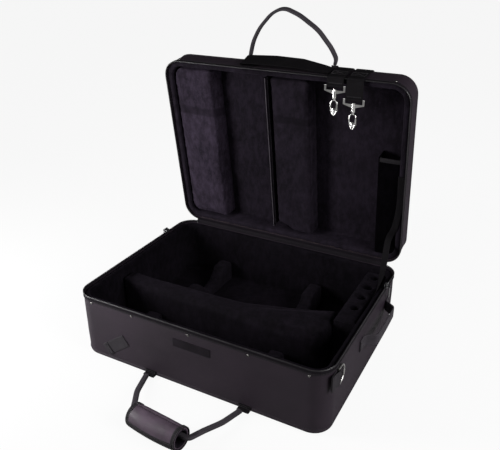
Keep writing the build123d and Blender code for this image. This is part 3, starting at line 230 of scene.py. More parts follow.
# ---- Meshes ----------------------------------------------------------------------------------
class Shape:
    """Collects grids, swept profiles and stitches, and makes one object of them."""

    def __init__(self):
        self.points, self.faces, self.marks, self.count = [], [], [], 0

    def add(self, points, faces, marks):
        """Points (n, 3), faces (m, k) of point numbers and their corners' UVs (m, k, 2), in millimetres."""
        self.points.append(points.reshape(-1, 3))
        self.faces += [f + self.count for f in faces]
        self.marks += marks
        self.count += len(self.points[-1])

    def grid(self, p, u, v, wrap_u=False, wrap_v=False, cap_u=False, cap_v=False):
        """Grid surface through p (rows, columns, 3). A wrapped side closes on itself, a capped side gets end faces."""
        m, n = p.shape[:2]
        u = np.asarray(u, float)
        v = np.asarray(v, float)
        i, j = np.meshgrid(np.arange(m - (not wrap_u)), np.arange(n - (not wrap_v)), indexing="ij")
        i1, j1 = (i + 1) % m, (j + 1) % n
        quads = np.stack([i * n + j, i1 * n + j, i1 * n + j1, i * n + j1], -1).reshape(-1, 4)
        uu = np.stack([u[i], u[i + 1], u[i + 1], u[i]], -1)
        vv = np.stack([v[j], v[j], v[j + 1], v[j + 1]], -1)
        faces, marks = [quads], [np.stack([uu, vv], -1).reshape(-1, 4, 2)]
        if cap_u:
            for row in (0, m - 1):
                faces.append((row * n + np.arange(n))[None])
                marks.append(stack(u[row], v[:n])[None])
        if cap_v:
            for column in (0, n - 1):
                faces.append((np.arange(m) * n + column)[None])
                marks.append(stack(u[:m], v[column])[None])
        self.add(p, faces, marks)
        return self

    def sweep(self, path, across, section, loop=False):
        """Closed section (n, 2) carried along a path, its first side along `across`; UV is (length, across)."""
        path = np.asarray(path, float)
        tangent = np.gradient(path, axis=0)
        if loop:
            tangent = np.roll(path, -1, 0) - np.roll(path, 1, 0)
        tangent /= np.linalg.norm(tangent, axis=1)[:, None]
        side = np.broadcast_to(np.asarray(across, float), path.shape)
        side = side - tangent * (side * tangent).sum(1)[:, None]
        side = side / np.linalg.norm(side, axis=1)[:, None]
        face = np.cross(tangent, side)
        section = np.broadcast_to(section, (len(path), *np.shape(section)[-2:]))
        p = path[:, None] + side[:, None] * section[..., :1] + face[:, None] * section[..., 1:]
        run = lengths(path)
        u = np.append(run, run[-1] + (run[1] - run[0]))
        v = np.append(section[0, :, 0], section[0, 0, 0])
        return self.grid(p, u, v, wrap_u=loop, wrap_v=True, cap_u=not loop)

    def copies(self, at, along, up, points, faces):
        """A small shape repeated: its points (along, across, up) set on each place."""
        along = along / np.linalg.norm(along, axis=1)[:, None]
        up = up - along * (up * along).sum(1)[:, None]
        up = up / np.linalg.norm(up, axis=1)[:, None]
        axes = np.stack([along, np.cross(up, along), up], 1)
        p = at[:, None] + np.einsum("vk,nkc->nvc", points, axes)
        for group in faces:
            group = np.asarray(group)
            sides = group.shape[1]
            numbers = (group[None] + (np.arange(len(at)) * len(points))[:, None, None]).reshape(-1, sides)
            uv = np.broadcast_to(points[group][None, ..., :2], (len(at), *group.shape, 2))
            self.faces.append(numbers + self.count)
            self.marks.append(uv.reshape(-1, sides, 2))
        self.points.append(p.reshape(-1, 3))
        self.count += p.shape[0] * p.shape[1]
        return self

    def stitches(self, path, up, length=3.2, gap=1.3, r=0.32, sink=0.1):
        """Row of thread stitches along a path: each a low rod with sunk ends."""
        path = np.asarray(path, float)
        run = lengths(path)
        at = np.arange((length + gap) / 2, run[-1], length + gap)
        if len(at):
            ahead = sample(at + 0.5, run, path) - sample(at - 0.5, run, path)
            up = sample(at, run, np.broadcast_to(np.asarray(up, float), path.shape))
            self.copies(sample(at, run, path), ahead, up, *rod(length, r, sink))
        return self

    def sew(self, name, body, slot):
        """Makes the object of thread."""
        return self.make(name, body, "thread", slot=slot)

    def make(self, name, body, look, replaces=(), slot=None, sharp=38.0):
        """Makes the object, closed and facing outwards, and sets it on its body."""
        points = np.concatenate(self.points) * MM
        sizes = np.concatenate([np.full(len(f), f.shape[1]) for f in self.faces])
        corners = np.concatenate([f.reshape(-1) for f in self.faces])
        mesh = bpy.data.meshes.new(name)
        mesh.vertices.add(len(points))
        mesh.vertices.foreach_set("co", points.astype(np.float32).ravel())
        mesh.loops.add(len(corners))
        mesh.loops.foreach_set("vertex_index", corners.astype(np.int32))
        mesh.polygons.add(len(sizes))
        mesh.polygons.foreach_set("loop_start", np.concatenate([[0], np.cumsum(sizes)[:-1]]).astype(np.int32))
        mesh.polygons.foreach_set("loop_total", sizes.astype(np.int32))
        mesh.update(calc_edges=True)
        mesh.validate()
        marks = np.concatenate([m.reshape(-1, 2) for m in self.marks]) * MM
        mesh.uv_layers.new(name="UVMap").data.foreach_set("uv", marks.astype(np.float32).ravel())
        work = bmesh.new()
        work.from_mesh(mesh)
        bmesh.ops.recalc_face_normals(work, faces=work.faces)
        work.to_mesh(mesh)
        work.free()
        mesh.shade_smooth()
        mesh.set_sharp_from_angle(angle=radians(sharp))
        obj = bpy.data.objects.new(name, mesh)
        bpy.context.scene.collection.objects.link(obj)
        dress(obj, material(look))
        if replaces:
            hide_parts(*replaces)
        if body:
            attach(obj, body)
        return obj


def dress(obj, material):
    """Gives the object one material."""
    obj.data.materials.clear()
    obj.data.materials.append(material)


def ring_faces(rows, sides=4):
    """Faces of a closed skin over stacked rings: quads between them and a face at each end."""
    i, j = np.meshgrid(np.arange(rows - 1), np.arange(sides), indexing="ij")
    k = (j + 1) % sides
    quads = np.stack([i * sides + j, (i + 1) * sides + j, (i + 1) * sides + k, i * sides + k], -1).reshape(-1, 4)
    end = np.arange(sides)
    return [np.concatenate([quads, [end[::-1], (rows - 1) * sides + end]])]


def rod(length, r, sink):
    """Points and faces of a stitch: five square rings whose ends go under the cloth."""
    at = np.array([-0.5, -0.36, 0.0, 0.36, 0.5]) * length
    high = np.array([-sink - r, r * 0.35, r * 0.8, r * 0.35, -sink - r])
    wide = np.array([0.6, 1.0, 1.05, 1.0, 0.6]) * r
    turn = np.arange(4) * np.pi / 2 + np.pi / 4
    across, up = wide[:, None] * np.cos(turn) * 1.3, high[:, None] + wide[:, None] * np.sin(turn)
    return stack(at[:, None], across, up).reshape(-1, 3), ring_faces(len(at))


def webbing_section(width, thick, count=22, hard=0.28):
    """Flat oval with full edges: a superellipse, wide by thick."""
    turn = np.arange(count) * 2 * np.pi / count + 0.001
    c, s = np.cos(turn), np.sin(turn)
    return stack(width / 2 * np.sign(c) * np.abs(c) ** hard, thick / 2 * np.sign(s) * np.abs(s) ** 0.62)


def wrap_shell(shape, half, profile, start=0.0, end=None, wave=None):
    """Closed profile of (offset from the face, height) carried round the plan, all the way or from start to end."""
    profile = np.asarray(profile, float)
    offset, height = profile[None, :, 0], profile[None, :, 1]
    whole = end is None
    if whole:
        core, normal, run = CORE, NORMAL, WRAPPED
    else:
        run = np.linspace(start, end, int((end - start) / 3.0) + 1)
        core, normal = plan_at(run)
        normal /= np.linalg.norm(normal, axis=1)[:, None]
    reach = CORNER_R + offset
    if wave is not None:
        reach = reach + wave(run[:len(core), None], offset, height)
    xy = core[:, None] + normal[:, None] * reach[..., None]
    p = in_half(half, stack(xy[..., 0], xy[..., 1], height))
    v = np.append(lengths(profile), lengths(profile)[-1] + 1.0)
    return shape.grid(p, run, v, wrap_u=whole, wrap_v=not whole, cap_u=not whole, cap_v=whole)


def rim_path(half, offset, height, start=0.0, end=ROUND_L):
    """Line round the case at an offset and height, with its outward direction."""
    core, normal = plan_at(np.linspace(start, end, int((end - start) / 2.5) + 1))
    xy = core + normal * (CORNER_R + offset)
    line = in_half(half, stack(*xy.T, height))
    return line, in_half(half, stack(*(xy + normal).T, height)) - line


# ---- Shaders ---------------------------------------------------------------------------------
class Val:
    """A number or colour socket that can be written into arithmetic."""

    def __init__(self, graph, socket):
        self.graph, self.socket = graph, socket

    def math(self, operation, *others):
        return self.graph.add("ShaderNodeMath", {"operation": operation}, dict(enumerate((self, *others))))

    def __add__(self, other): return self.math("ADD", other)
    def __radd__(self, other): return self.math("ADD", other)
    def __sub__(self, other): return self.math("SUBTRACT", other)
    def __rsub__(self, other): return (self * -1.0).math("ADD", other)
    def __mul__(self, other): return self.math("MULTIPLY", other)
    def __rmul__(self, other): return self.math("MULTIPLY", other)
    def __truediv__(self, other): return self.math("DIVIDE", other)
    def sine(self): return self.math("SINE")
    def size(self): return self.math("ABSOLUTE")
    def below(self, other): return self.math("LESS_THAN", other)
    def above(self, other): return self.math("GREATER_THAN", other)
    def clamp(self): return self.graph.add("ShaderNodeClamp", {}, {"Value": self})


class Graph:
    """One material's node tree, built by calls."""

    def __init__(self, name):
        self.material = bpy.data.materials.new(name)
        self.material.use_nodes = True
        self.tree = self.material.node_tree
        self.tree.nodes.clear()

    def add(self, kind, settings=None, inputs=None, output=0):
        """Adds a node: its settings first, then each input as a value or a link. Returns one of its outputs."""
        node = self.tree.nodes.new(kind)
        for key, value in (settings or {}).items():
            setattr(node, key, value)
        for key, value in (inputs or {}).items():
            if isinstance(value, Val):
                self.tree.links.new(value.socket, node.inputs[key])
            else:
                node.inputs[key].default_value = value
        return Val(self, node.outputs[output])

    def object_point(self):
        return self.add("ShaderNodeTexCoord", output="Object")

    def uv(self):
        """The piece's UV in metres, as (along, across)."""
        apart = self.add("ShaderNodeSeparateXYZ", {}, {0: self.add("ShaderNodeUVMap", {"uv_map": "UVMap"})})
        return apart, Val(self, apart.socket.node.outputs[1])

    def axes(self, point):
        node = self.add("ShaderNodeSeparateXYZ", {}, {0: point}).socket.node
        return [Val(self, output) for output in node.outputs]

    def stretch(self, point, scale):
        return self.add("ShaderNodeVectorMath", {"operation": "MULTIPLY"}, {0: point, 1: scale})

    def noise(self, point, scale, detail=3.0, rough=0.55):
        inputs = {"Vector": point, "Scale": scale, "Detail": detail, "Roughness": rough}
        return self.add("ShaderNodeTexNoise", {}, inputs)

    def ramp(self, value, low, high, to_low=0.0, to_high=1.0):
        """Eased step from one number to another."""
        settings = {"interpolation_type": "SMOOTHSTEP"}
        return self.add("ShaderNodeMapRange", settings, {"Value": value, 1: low, 2: high, 3: to_low, 4: to_high})

    def mix(self, factor, first, second, blend="MIX"):
        return self.add(
            "ShaderNodeMix", {"data_type": "RGBA", "blend_type": blend}, {0: factor, 6: first, 7: second}, output=2
        )

    def bump(self, height, strength, distance, normal=None):
        inputs = {"Strength": strength, "Distance": distance, "Height": height}
        if normal is not None:
            inputs["Normal"] = normal
        return self.add("ShaderNodeBump", {}, inputs)

    def finish(self, **inputs):
        """Principled surface. Names are its inputs, with _ for a space."""
        named = {key.replace("_", " "): value for key, value in inputs.items()}
        surface = self.add("ShaderNodeBsdfPrincipled", {}, named)
        self.add_output(surface)
        return self.material

    def add_output(self, surface):
        node = self.tree.nodes.new("ShaderNodeOutputMaterial")
        self.tree.links.new(surface.socket, node.inputs["Surface"])


def tone(colour, by=1.0):
    """RGBA of a colour made lighter or darker."""
    return (*[min(c * by, 1.0) for c in colour[:3]], 1.0)


def weave(graph, u, v, pitch):
    """Plain weave height: threads along u and v that pass over each other in turn."""
    a, b = (u * (np.pi / pitch)).sine(), (v * (np.pi / pitch)).sine()
    over = (a * b).above(0.0)
    return a.size() * over + b.size() * (1.0 - over)


def fabric_material(name, colour, pitch=0.00115, sheen=0.05, rough=0.62, bump=0.35):
    """Heavy woven nylon: plain weave, uneven dye, faint creases and paler threads."""
    g = Graph(name)
    point = g.object_point()
    u, v = g.uv()
    cloth = weave(g, u, v, pitch)
    broad, fine = g.noise(point, 9.0, 4.0), g.noise(point, 900.0, 1.0)
    thread = g.noise(g.stretch(point, (1.0, 1.0, 0.08)), 500.0, 2.0)
    shade = g.ramp(broad, 0.3, 0.7) * 0.5 + g.ramp(fine, 0.35, 0.75) * 0.3 + cloth * 0.2
    base = g.mix(shade.clamp(), tone(colour, 0.72), tone(colour, 1.35))
    base = g.mix(g.ramp(thread, 0.62, 0.75) * 0.35, base, tone(colour, 2.1))
    creases = g.bump(g.noise(point, 22.0, 5.0, 0.6), 0.22, 0.004)
    return g.finish(
        Base_Color=base,
        Roughness=g.ramp(fine, 0.3, 0.7, rough - 0.08, rough + 0.1),
        Normal=g.bump(cloth, bump, 0.0004, creases),
        Sheen_Weight=sheen,
        Sheen_Roughness=0.45,
        Sheen_Tint=tone(colour, 9.0),
        Specular_IOR_Level=0.17,
    )


def plush_material(name, colour, band=None, lift=1.0):
    """Short-pile plush: brushed patches, lint and, where a band is given, a darker stripe where the pile is pressed the
    other way, its darkness painted shade.
    """
    g = Graph(name)
    point = g.object_point()
    streak = g.noise(g.stretch(point, (1.0, 1.0, 0.5)), 90.0, 8.0, 0.75)
    patch = g.noise(point, 11.0, 5.0, 0.65)
    pile = g.noise(point, 620.0, 2.0, 0.7)
    nap = g.ramp(streak, 0.4, 0.62) * 0.6 + g.ramp(patch, 0.38, 0.64) * 0.4
    shade = (nap * 0.75 + g.ramp(pile, 0.25, 0.8) * 0.25).clamp()
    # lift scales the colour, lint, sheen and specular alike: painted light above 1, painted shade below 1
    base = g.mix(shade, tone(colour, 0.3 * lift), tone(colour, 1.8 * lift))
    lint = g.ramp(g.noise(point, 310.0, 1.0), 0.7, 0.78) * 0.5
    base = g.mix(lint, base, tone(colour, 3.6 * lift))
    # A band paints shade into the colour: a darker stripe between two heights, for pile pressed the other way
    if band:
        low, high, share = band
        edge = g.axes(point)[2] + (patch - 0.5) * 0.016
        inside = g.ramp(edge, low - 0.003, low + 0.003) * g.ramp(edge, high - 0.003, high + 0.003, 1.0, 0.0)
        base = g.mix(inside * share, base, tone(colour, 0.3 * lift))
    height = nap * 0.35 + pile * 0.65
    return g.finish(
        Base_Color=base,
        Roughness=g.ramp(pile, 0.2, 0.8, 0.86, 1.0),
        Normal=g.bump(height, 0.55, 0.0016),
        Sheen_Weight=0.12 * min(lift, 1.0),
        Sheen_Roughness=0.55,
        Sheen_Tint=tone(colour, 14.0),
        Specular_IOR_Level=0.06 * min(2.0 * lift, 1.0),
    )


def webbing_material(name, colour, rib=0.0016, wear=0.5, sheen=0.06, shine=0.1):
    """Polyester webbing: ribs that slant from its middle line, rows of twill along it and paler worn patches."""
    g = Graph(name)
    point = g.object_point()
    u, v = g.uv()
    slant = u + (v.size() * 0.9)
    ribs = (slant * (np.pi / rib)).sine().size()
    rows = (v * (np.pi / 0.0011)).sine().size()
    fuzz = g.noise(point, 700.0, 2.0)
    blotch = g.noise(point, 40.0, 3.0)
    shade = (ribs * 0.45 + rows * 0.2 + g.ramp(fuzz, 0.3, 0.7) * 0.35).clamp()
    base = g.mix(shade, tone(colour, 0.55), tone(colour, 1.4))
    base = g.mix(g.ramp(blotch, 0.45, 0.75) * wear, base, tone(colour, 1.75))
    return g.finish(
        Base_Color=base,
        Roughness=g.ramp(fuzz, 0.3, 0.7, 0.6, 0.8),
        Normal=g.bump(ribs * 0.6 + rows * 0.4, 0.5, 0.0005),
        Sheen_Weight=sheen,
        Sheen_Roughness=0.4,
        Sheen_Tint=tone(colour, 6.0),
        Specular_IOR_Level=shine,
    )


def coated_material(name, colour, grain=420.0, rough=0.5, coat=0.1, shine=0.4):
    """Moulded or coated surface: fine pebble grain, rubbed patches."""
    g = Graph(name)
    point = g.object_point()
    pebbles = g.add("ShaderNodeTexVoronoi", {"feature": "SMOOTH_F1"}, {"Vector": point, "Scale": grain})
    rubbed = g.noise(point, 30.0, 4.0)
    base = g.mix(g.ramp(rubbed, 0.4, 0.7), tone(colour, 0.8), tone(colour, 1.25))
    return g.finish(
        Base_Color=base,
        Roughness=g.ramp(rubbed, 0.3, 0.7, rough - 0.07, rough + 0.12),
        Normal=g.bump(pebbles, 0.25, 0.0003),
        Coat_Weight=coat,
        Coat_Roughness=0.35,
        Specular_IOR_Level=shine,
    )


def metal_material(name, colour, rough=0.16, scratch=0.35):
    """Plated metal: hairline scratches and a dull bloom in patches."""
    g = Graph(name)
    point = g.object_point()
    hair = g.noise(g.stretch(point, (1.0, 1.0, 14.0)), 120.0, 3.0, 0.7)
    bloom = g.noise(point, 60.0, 4.0)
    base = g.mix(g.ramp(bloom, 0.4, 0.75), tone(colour), tone(colour, 0.72))
    return g.finish(
        Base_Color=base,
        Metallic=1.0,
        Roughness=g.ramp(bloom, 0.35, 0.75, rough, rough + 0.16) + hair * 0.08,
        Normal=g.bump(hair, 0.12 * scratch, 0.0003),
    )


def board_material(name, colour):
    """Pressed fibre board: speckled fibres."""
    g = Graph(name)
    point = g.object_point()
    fibre = g.noise(g.stretch(point, (0.3, 1.0, 1.0)), 240.0, 4.0, 0.7)
    base = g.mix(g.ramp(fibre, 0.35, 0.7), tone(colour, 0.7), tone(colour, 1.3))
    return g.finish(Base_Color=base, Roughness=g.ramp(fibre, 0.3, 0.7, 0.75, 0.95), Normal=g.bump(fibre, 0.4, 0.0005))


def floor_material(name, colour):
    """Matt paper sweep. To the camera it is near white whatever falls on it, and keeps a faint shadow."""
    g = Graph(name)
    point = g.object_point()
    mottle = g.noise(point, 3.0, 2.0)
    base = g.mix(mottle, tone(colour, 0.985), tone(colour))
    paper = g.add("ShaderNodeBsdfDiffuse", {}, {"Color": base, "Roughness": 0.5})
    glow = g.add("ShaderNodeEmission", {}, {"Color": tone((1.0, 1.0, 1.0)), "Strength": 0.995})
    seen = g.add("ShaderNodeLightPath", output="Is Camera Ray") * 0.92
    g.add_output(g.add("ShaderNodeMixShader", {}, {0: seen, 1: paper, 2: glow}))
    return g.material


# ---- Settings a user would change ------------------------------------------------------------
def colour_property(name, description, default):
    """A colour setting."""
    return bpy.props.FloatVectorProperty(
        name=name, description=description, default=default, subtype="COLOR", min=0.0, max=1.0
    )


def length_property(name, description, default, low, high):
    """A small length in metres."""
    return bpy.props.FloatProperty(
        name=name, description=description, default=default, min=low, max=high, subtype="DISTANCE", unit="LENGTH"
    )


class CaseLooks(bpy.types.PropertyGroup):
    """Colours and small sizes of the case."""

    cover: colour_property("Cover", "Nylon of the outside", (0.0112, 0.0071, 0.0114))
    plush: colour_property("Plush", "Pile of the lining and pads", (0.0070, 0.0052, 0.0084))
    webbing: colour_property("Webbing", "Straps and handles", (0.024, 0.0210, 0.0250))
    tape: colour_property("Tape", "Zip and hinge tape, bindings", (0.0058, 0.0047, 0.0062))
    grip: colour_property("Grip", "Padded wrap of the base handle", (0.037, 0.0245, 0.0365))
    chrome: colour_property("Chrome", "Snap hooks and rings", (0.74, 0.73, 0.72))
    weave_pitch: length_property("Weave pitch", "Distance between two threads of the nylon", 0.00115, 0.0004, 0.005)
    stitch: length_property("Stitch length", "Length of one stitch", 0.0032, 0.001, 0.01)
    ripple: length_property("Cover ripple", "Depth of the soft unevenness of the walls", 0.0006, 0.0, 0.003)
    swell: length_property("Pad swell", "Most that the base's padding swells where it is simulated", 0.004, 0.0, 0.012)


def looks():
    """The settings as they stand in the scene."""
    return bpy.context.scene.case_looks


MATERIALS = {}


def material(key):
    """A material by its key, made at the first call."""
    if key not in MATERIALS:
        look = looks()
        makers = {
            "cover": lambda: fabric_material("cover_nylon", look.cover, look.weave_pitch),
            # The plush copies below differ only in lift, a painted brightness: painted shade in the base lining, the
            # pads, the grip's foam and the lid's pocket, and painted light on the lid's left pad
            "lining": lambda: plush_material("lining_plush", look.plush, lift=0.32),
            "lid_lining": lambda: plush_material("lid_lining_plush", look.plush, lift=0.95),
            "pad": lambda: plush_material("pad_plush", look.plush, lift=0.42),
            "pocket": lambda: plush_material("pocket_plush_painted_shade", look.plush, lift=0.12),
            "left_block": lambda: plush_material("left_block_plush_painted_light", look.plush, (0.434, 0.452, 0.6), 2.25),
            "beam": lambda: plush_material("beam_plush", look.plush, (0.443, 0.459, 0.6), 0.95),
            "tape": lambda: webbing_material("tape_weave", look.tape, 0.0008, 0.3, 0.015, 0.045),
            "binding": lambda: webbing_material("binding_weave", tone(look.webbing, 0.36), 0.0007, 0.4, 0.03),
            # Webbing colour at 2.2 times: the piping cord is real, and its paleness is a painted highlight along the
            # divider's lit edge
            "piping": lambda: webbing_material("piping_cord_painted_highlight", tone(look.webbing, 2.2), 0.0007, 0.4, 0.1),
            "webbing": lambda: webbing_material("strap_webbing", look.webbing),
            "ring_webbing": lambda: webbing_material("ring_webbing", tone(look.webbing, 0.6), sheen=0.03),
            # A copy of the strap webbing at about a sixth of its colour: painted shade on the pieces it dresses
            "shaded_webbing": lambda: webbing_material("shaded_webbing", tone(look.webbing, 0.17), sheen=0.01, shine=0.04),
            "chain": lambda: coated_material("chain_nylon", tone(look.tape, 1.2), 900.0, 0.38, 0.2),
            "thread": lambda: coated_material("thread", tone(look.webbing, 0.9), 1500.0, 0.6, 0.0),
            "slider": lambda: coated_material("slider_enamel", (0.02, 0.02, 0.022), 500.0, 0.3, 0.5),
            "steel": lambda: metal_material("plated_steel", (0.42, 0.41, 0.40), 0.2),
            # Steel darkened to well under the plated steel's colour: painted shade that keeps the reflections of the
            # rivets and zip stops small
            "rivet": lambda: metal_material("rivet_steel_painted_shade", (0.16, 0.155, 0.15), 0.14),
            "chrome": lambda: metal_material("hook_chrome", look.chrome, 0.08),
            "badge": lambda: coated_material("badge_satin", (0.0062, 0.0046, 0.0066), 260.0, 0.5, 0.0, 0.07),
            "grip": lambda: coated_material("grip_skin", look.grip, 520.0, 0.62, 0.0, 0.25),
            "grip_inside": lambda: plush_material("grip_foam", look.plush, lift=0.6),
            "board": lambda: board_material("fibre_board", (0.13, 0.10, 0.075)),
            "floor": lambda: floor_material("paper_sweep", (0.5, 0.5, 0.5)),
        }
        MATERIALS[key] = makers[key]()
    return MATERIALS[key]


def stitch_mm():
    """Length of a stitch in the units of the geometry code."""
    return looks().stitch / MM


# ---- Cover, lining, zip ----------------------------------------------------------------------
def height_of(half):
    """Closed face to the crest of that half's zip chain."""
    return BASE_H if half == "base" else LID_DEPTH


def cover_shell(half):
    """Cup of nylon: flat closed face, rolled edge, hem with a corded seam, wall up to the lip, and back down inside."""
    lip = height_of(half) - LIP_DROP
    turn = np.linspace(0, np.pi / 2, 9)
    rolled = stack(-EDGE_R + EDGE_R * np.sin(turn), EDGE_R - EDGE_R * np.cos(turn))
    t = np.linspace(0, 1, 13)
    cord = stack(0.9 * np.sin(np.pi * t) ** 0.8 - 0.35 * np.sin(2 * np.pi * t) ** 2, HEM_H - 0.4 + 3.0 * t)
    walls = stack(0.0, np.linspace(HEM_H + 3.4, lip, max(int(lip / 5), 8)))
    flat = stack([-MIDDLE_IN, -30.0, -22.0, -15.0, -10.0], 0.0)
    inside = [(-COVER_T, lip), (-COVER_T, 12.0), (-COVER_T, 8.0), (-EDGE_R, COVER_T), (-20.0, COVER_T),
              (-MIDDLE_IN, COVER_T)]
    profile = np.concatenate([flat, rolled, cord, walls, inside])
    depth = looks().ripple / MM

    def wave(run, offset, height):
        free = np.clip((height - HEM_H - 3) / 25, 0, 1) * np.clip((lip - 6 - height) / 18, 0, 1)
        outside = (offset > -1.0) * 1.0
        return outside * free * (waves(run, height * 2.2, 3 if half == "base" else 4, 150.0, depth) + 0.5 * depth)

    shape = wrap_shell(Shape(), half, profile, wave=wave)
    sides = {"base": ("base_side_cover", "base_bottom_cover"), "lid": ("lid_side_cover", "lid_top_cover")}[half]
    return shape.make(f"{half}_cover", half, "cover", sides, "cover")


def seam_rows(half):
    """Stitch rows above the hem cord and under the zip tape."""
    height = height_of(half)
    shape = Shape()
    hem, out = rim_path(half, 0.05, HEM_H + 4.2)
    shape.stitches(hem, out, stitch_mm())
    tape, out = rim_path(half, 1.25, height - CHAIN_H - TAPE_H + 1.9, ZIP_END_X, ROUND_L - ZIP_END_X)
    shape.stitches(tape, out, stitch_mm())
    shape.sew(f"{half}_seam_stitches", half, "cover")


def lining_shell(half):
    """Cup of plush: floor, rolled foot, wall, soft lip folded out over the wall frame, and the hidden side."""
    lip = height_of(half) - LIP_DROP
    turn = np.linspace(0, np.pi / 2, 9)
    foot = stack(-LINING_IN - 6 + 6 * np.sin(turn), LINING_FLOOR + 6 - 6 * np.cos(turn))
    t = np.linspace(0, 1, 13)
    lip_round = stack(-LINING_IN + 0.4 + 11.4 * t, lip - 2.0 + 2.6 * np.sin(np.pi * np.minimum(t * 1.02, 1)) ** 0.45)
    walls = stack(-LINING_IN, np.linspace(LINING_FLOOR + 7, lip - 3.2, max(int(lip / 6), 8)))
    floor = stack([-MIDDLE_IN, -33.0, -27.0, -21.0], LINING_FLOOR)
    back = [(-1.7, lip - 2.0), (-9.5, lip - 2.0), (-9.5, BOARD_TOP), (-20.0, BOARD_TOP), (-MIDDLE_IN, BOARD_TOP)]
    profile = np.concatenate([floor, foot, walls, lip_round, back])

    def wave(run, offset, height):
        wall = (np.abs(offset + LINING_IN) < 0.1) * np.clip((height - LINING_FLOOR - 4) / 12, 0, 1)
        return wall * (waves(run, height * 2, 7, 60.0, 0.8) - 0.3)

    shape = wrap_shell(Shape(), half, profile, wave=wave)
    # The base lining takes a darker plush copy than the lid's: painted shade inside the base
    look = "lining" if half == "base" else "lid_lining"
    shape.make(f"{half}_lining_plush", half, look, (f"{half}_lining",), "lining")


def zip_pieces(half):
    """Tape band round the rim with a rolled lower edge, and the chain: a bead with evenly set teeth."""
    height = height_of(half)
    start, end = ZIP_END_X, ROUND_L - ZIP_END_X
    low, top = height - CHAIN_H - TAPE_H, height - CHAIN_H
    t = np.linspace(0, np.pi, 9)[:6]
    face = [(1.2, low + 1.2), (1.0, low + 1.9), (1.15, low + 2.6), (1.2, low + 5.0), (1.2, top)]
    back = [(0.05, top), (0.05, low + 2)]
    profile = np.concatenate([stack(0.6 - 0.675 * np.cos(t), low - 0.3 * np.sin(t)), face, back])
    band = wrap_shell(Shape(), half, profile, start, end)
    band.make(f"{half}_zip_band", half, "tape", (f"{half}_zip_tape",), "tape")

    turn = np.arange(10) * np.pi / 5
    bead = stack(0.5 + 1.1 * np.cos(turn), height - 1.5 + 0.88 * np.sin(turn))
    chain = wrap_shell(Shape(), half, bead, start, end)
    line, _ = rim_path(half, 0.5, height - 1.0, start, end)
    above, _ = rim_path(half, 0.5, height, start, end)
    run = lengths(line)
    at = np.arange(TOOTH_PITCH / 2, run[-1] - TOOTH_PITCH / 2, TOOTH_PITCH)
    place, along, up = (sample(at, run, rows) for rows in (line, np.gradient(line, axis=0), above - line))
    long, wide, level = np.array([(0.62, 0.62, 0.34), (1.05, 1.0, 0.62), (-0.6, 0.45, 0.98)])[..., None]
    signs = np.array([(-1, -1), (1, -1), (1, 1), (-1, 1)])
    tooth = stack(long * signs[:, 0], wide * signs[:, 1], level).reshape(-1, 3)
    chain.copies(place, along, up, tooth, ring_faces(len(level)))
    chain.make(f"{half}_zip_teeth", half, "chain", (f"{half}_zip_chain",), "chain")


def hinge_pieces():
    """Two tape leaves along the back: the base's ends in the bead on the hinge axis, the lid's curls round it."""
    y, t = CASE_W / 2, 1.2
    x = np.linspace(-HINGE_END_X, HINGE_END_X, 166)
    turn = np.linspace(-2.2, 2.6, 14)
    bead = stack(HINGE_Y + 1.3 * np.cos(turn), HINGE_Z + 1.3 * np.sin(turn))
    outside = [(y + t, HINGE_Z - 24.6), (y + t, HINGE_Z - 12), (y + t, HINGE_Z - 2.4)]
    inside = [(y, HINGE_Z - 1.2), (y, HINGE_Z - 25), (y + t * 0.6, HINGE_Z - 25)]
    leaf = np.concatenate([outside, bead, inside])
    out, up = leaf.T
    ripple = waves(x[:, None], up * 3, 21, 40.0, 0.22) * (out > y + 0.9)
    v = np.append(lengths(leaf), lengths(leaf)[-1] + 2)
    base = Shape().grid(stack(x[:, None], out + ripple, up), x, v, wrap_v=True, cap_u=True)
    base.stitches(stack(x, y + t + 0.1, HINGE_Z - 22.0), (0, 1, 0), stitch_mm())
    base.make("base_hinge_leaf", "base", "tape", ("base_hinge_tape",), "tape")

    hug = np.radians(np.linspace(168.0, -20.0, 12))
    inner = stack(1.6 + 1.36 * np.cos(hug), 1.36 * np.sin(hug))
    outer = stack(1.6 + 2.3 * np.cos(hug[::-1]), 2.3 * np.sin(hug[::-1]))
    face = stack(t, [3.0, 8.0, 16.0, 24.0, 26.3])
    leaf = np.concatenate([inner, outer[outer[:, 0] > 1.1], face, [(0.9, 26.9), (0.0, 26.9), (0.0, 16.0), (0.0, 2.6)]])
    out, d = leaf.T
    ripple = waves(x[:, None], d * 3, 22, 40.0, 0.2) * ((out == t) & (d > 3.0))
    p = in_lid(stack(x[:, None], y + out + ripple, d))
    lid = Shape().grid(p, x, np.append(lengths(leaf), 60.0), wrap_v=True, cap_u=True)
    lid.stitches(in_lid(stack(x, y + t + 0.1, 24.5)), lid_way(0, 1, 0), stitch_mm())
    lid.make("lid_hinge_leaf", "lid", "tape", ("lid_hinge_tape",), "tape")


# ---- Padding ---------------------------------------------------------------------------------
def coordinates(mesh):
    """Points of a mesh, in metres."""
    flat = np.empty(len(mesh.vertices) * 3)
    mesh.vertices.foreach_get("co", flat)
    return flat.reshape(-1, 3)


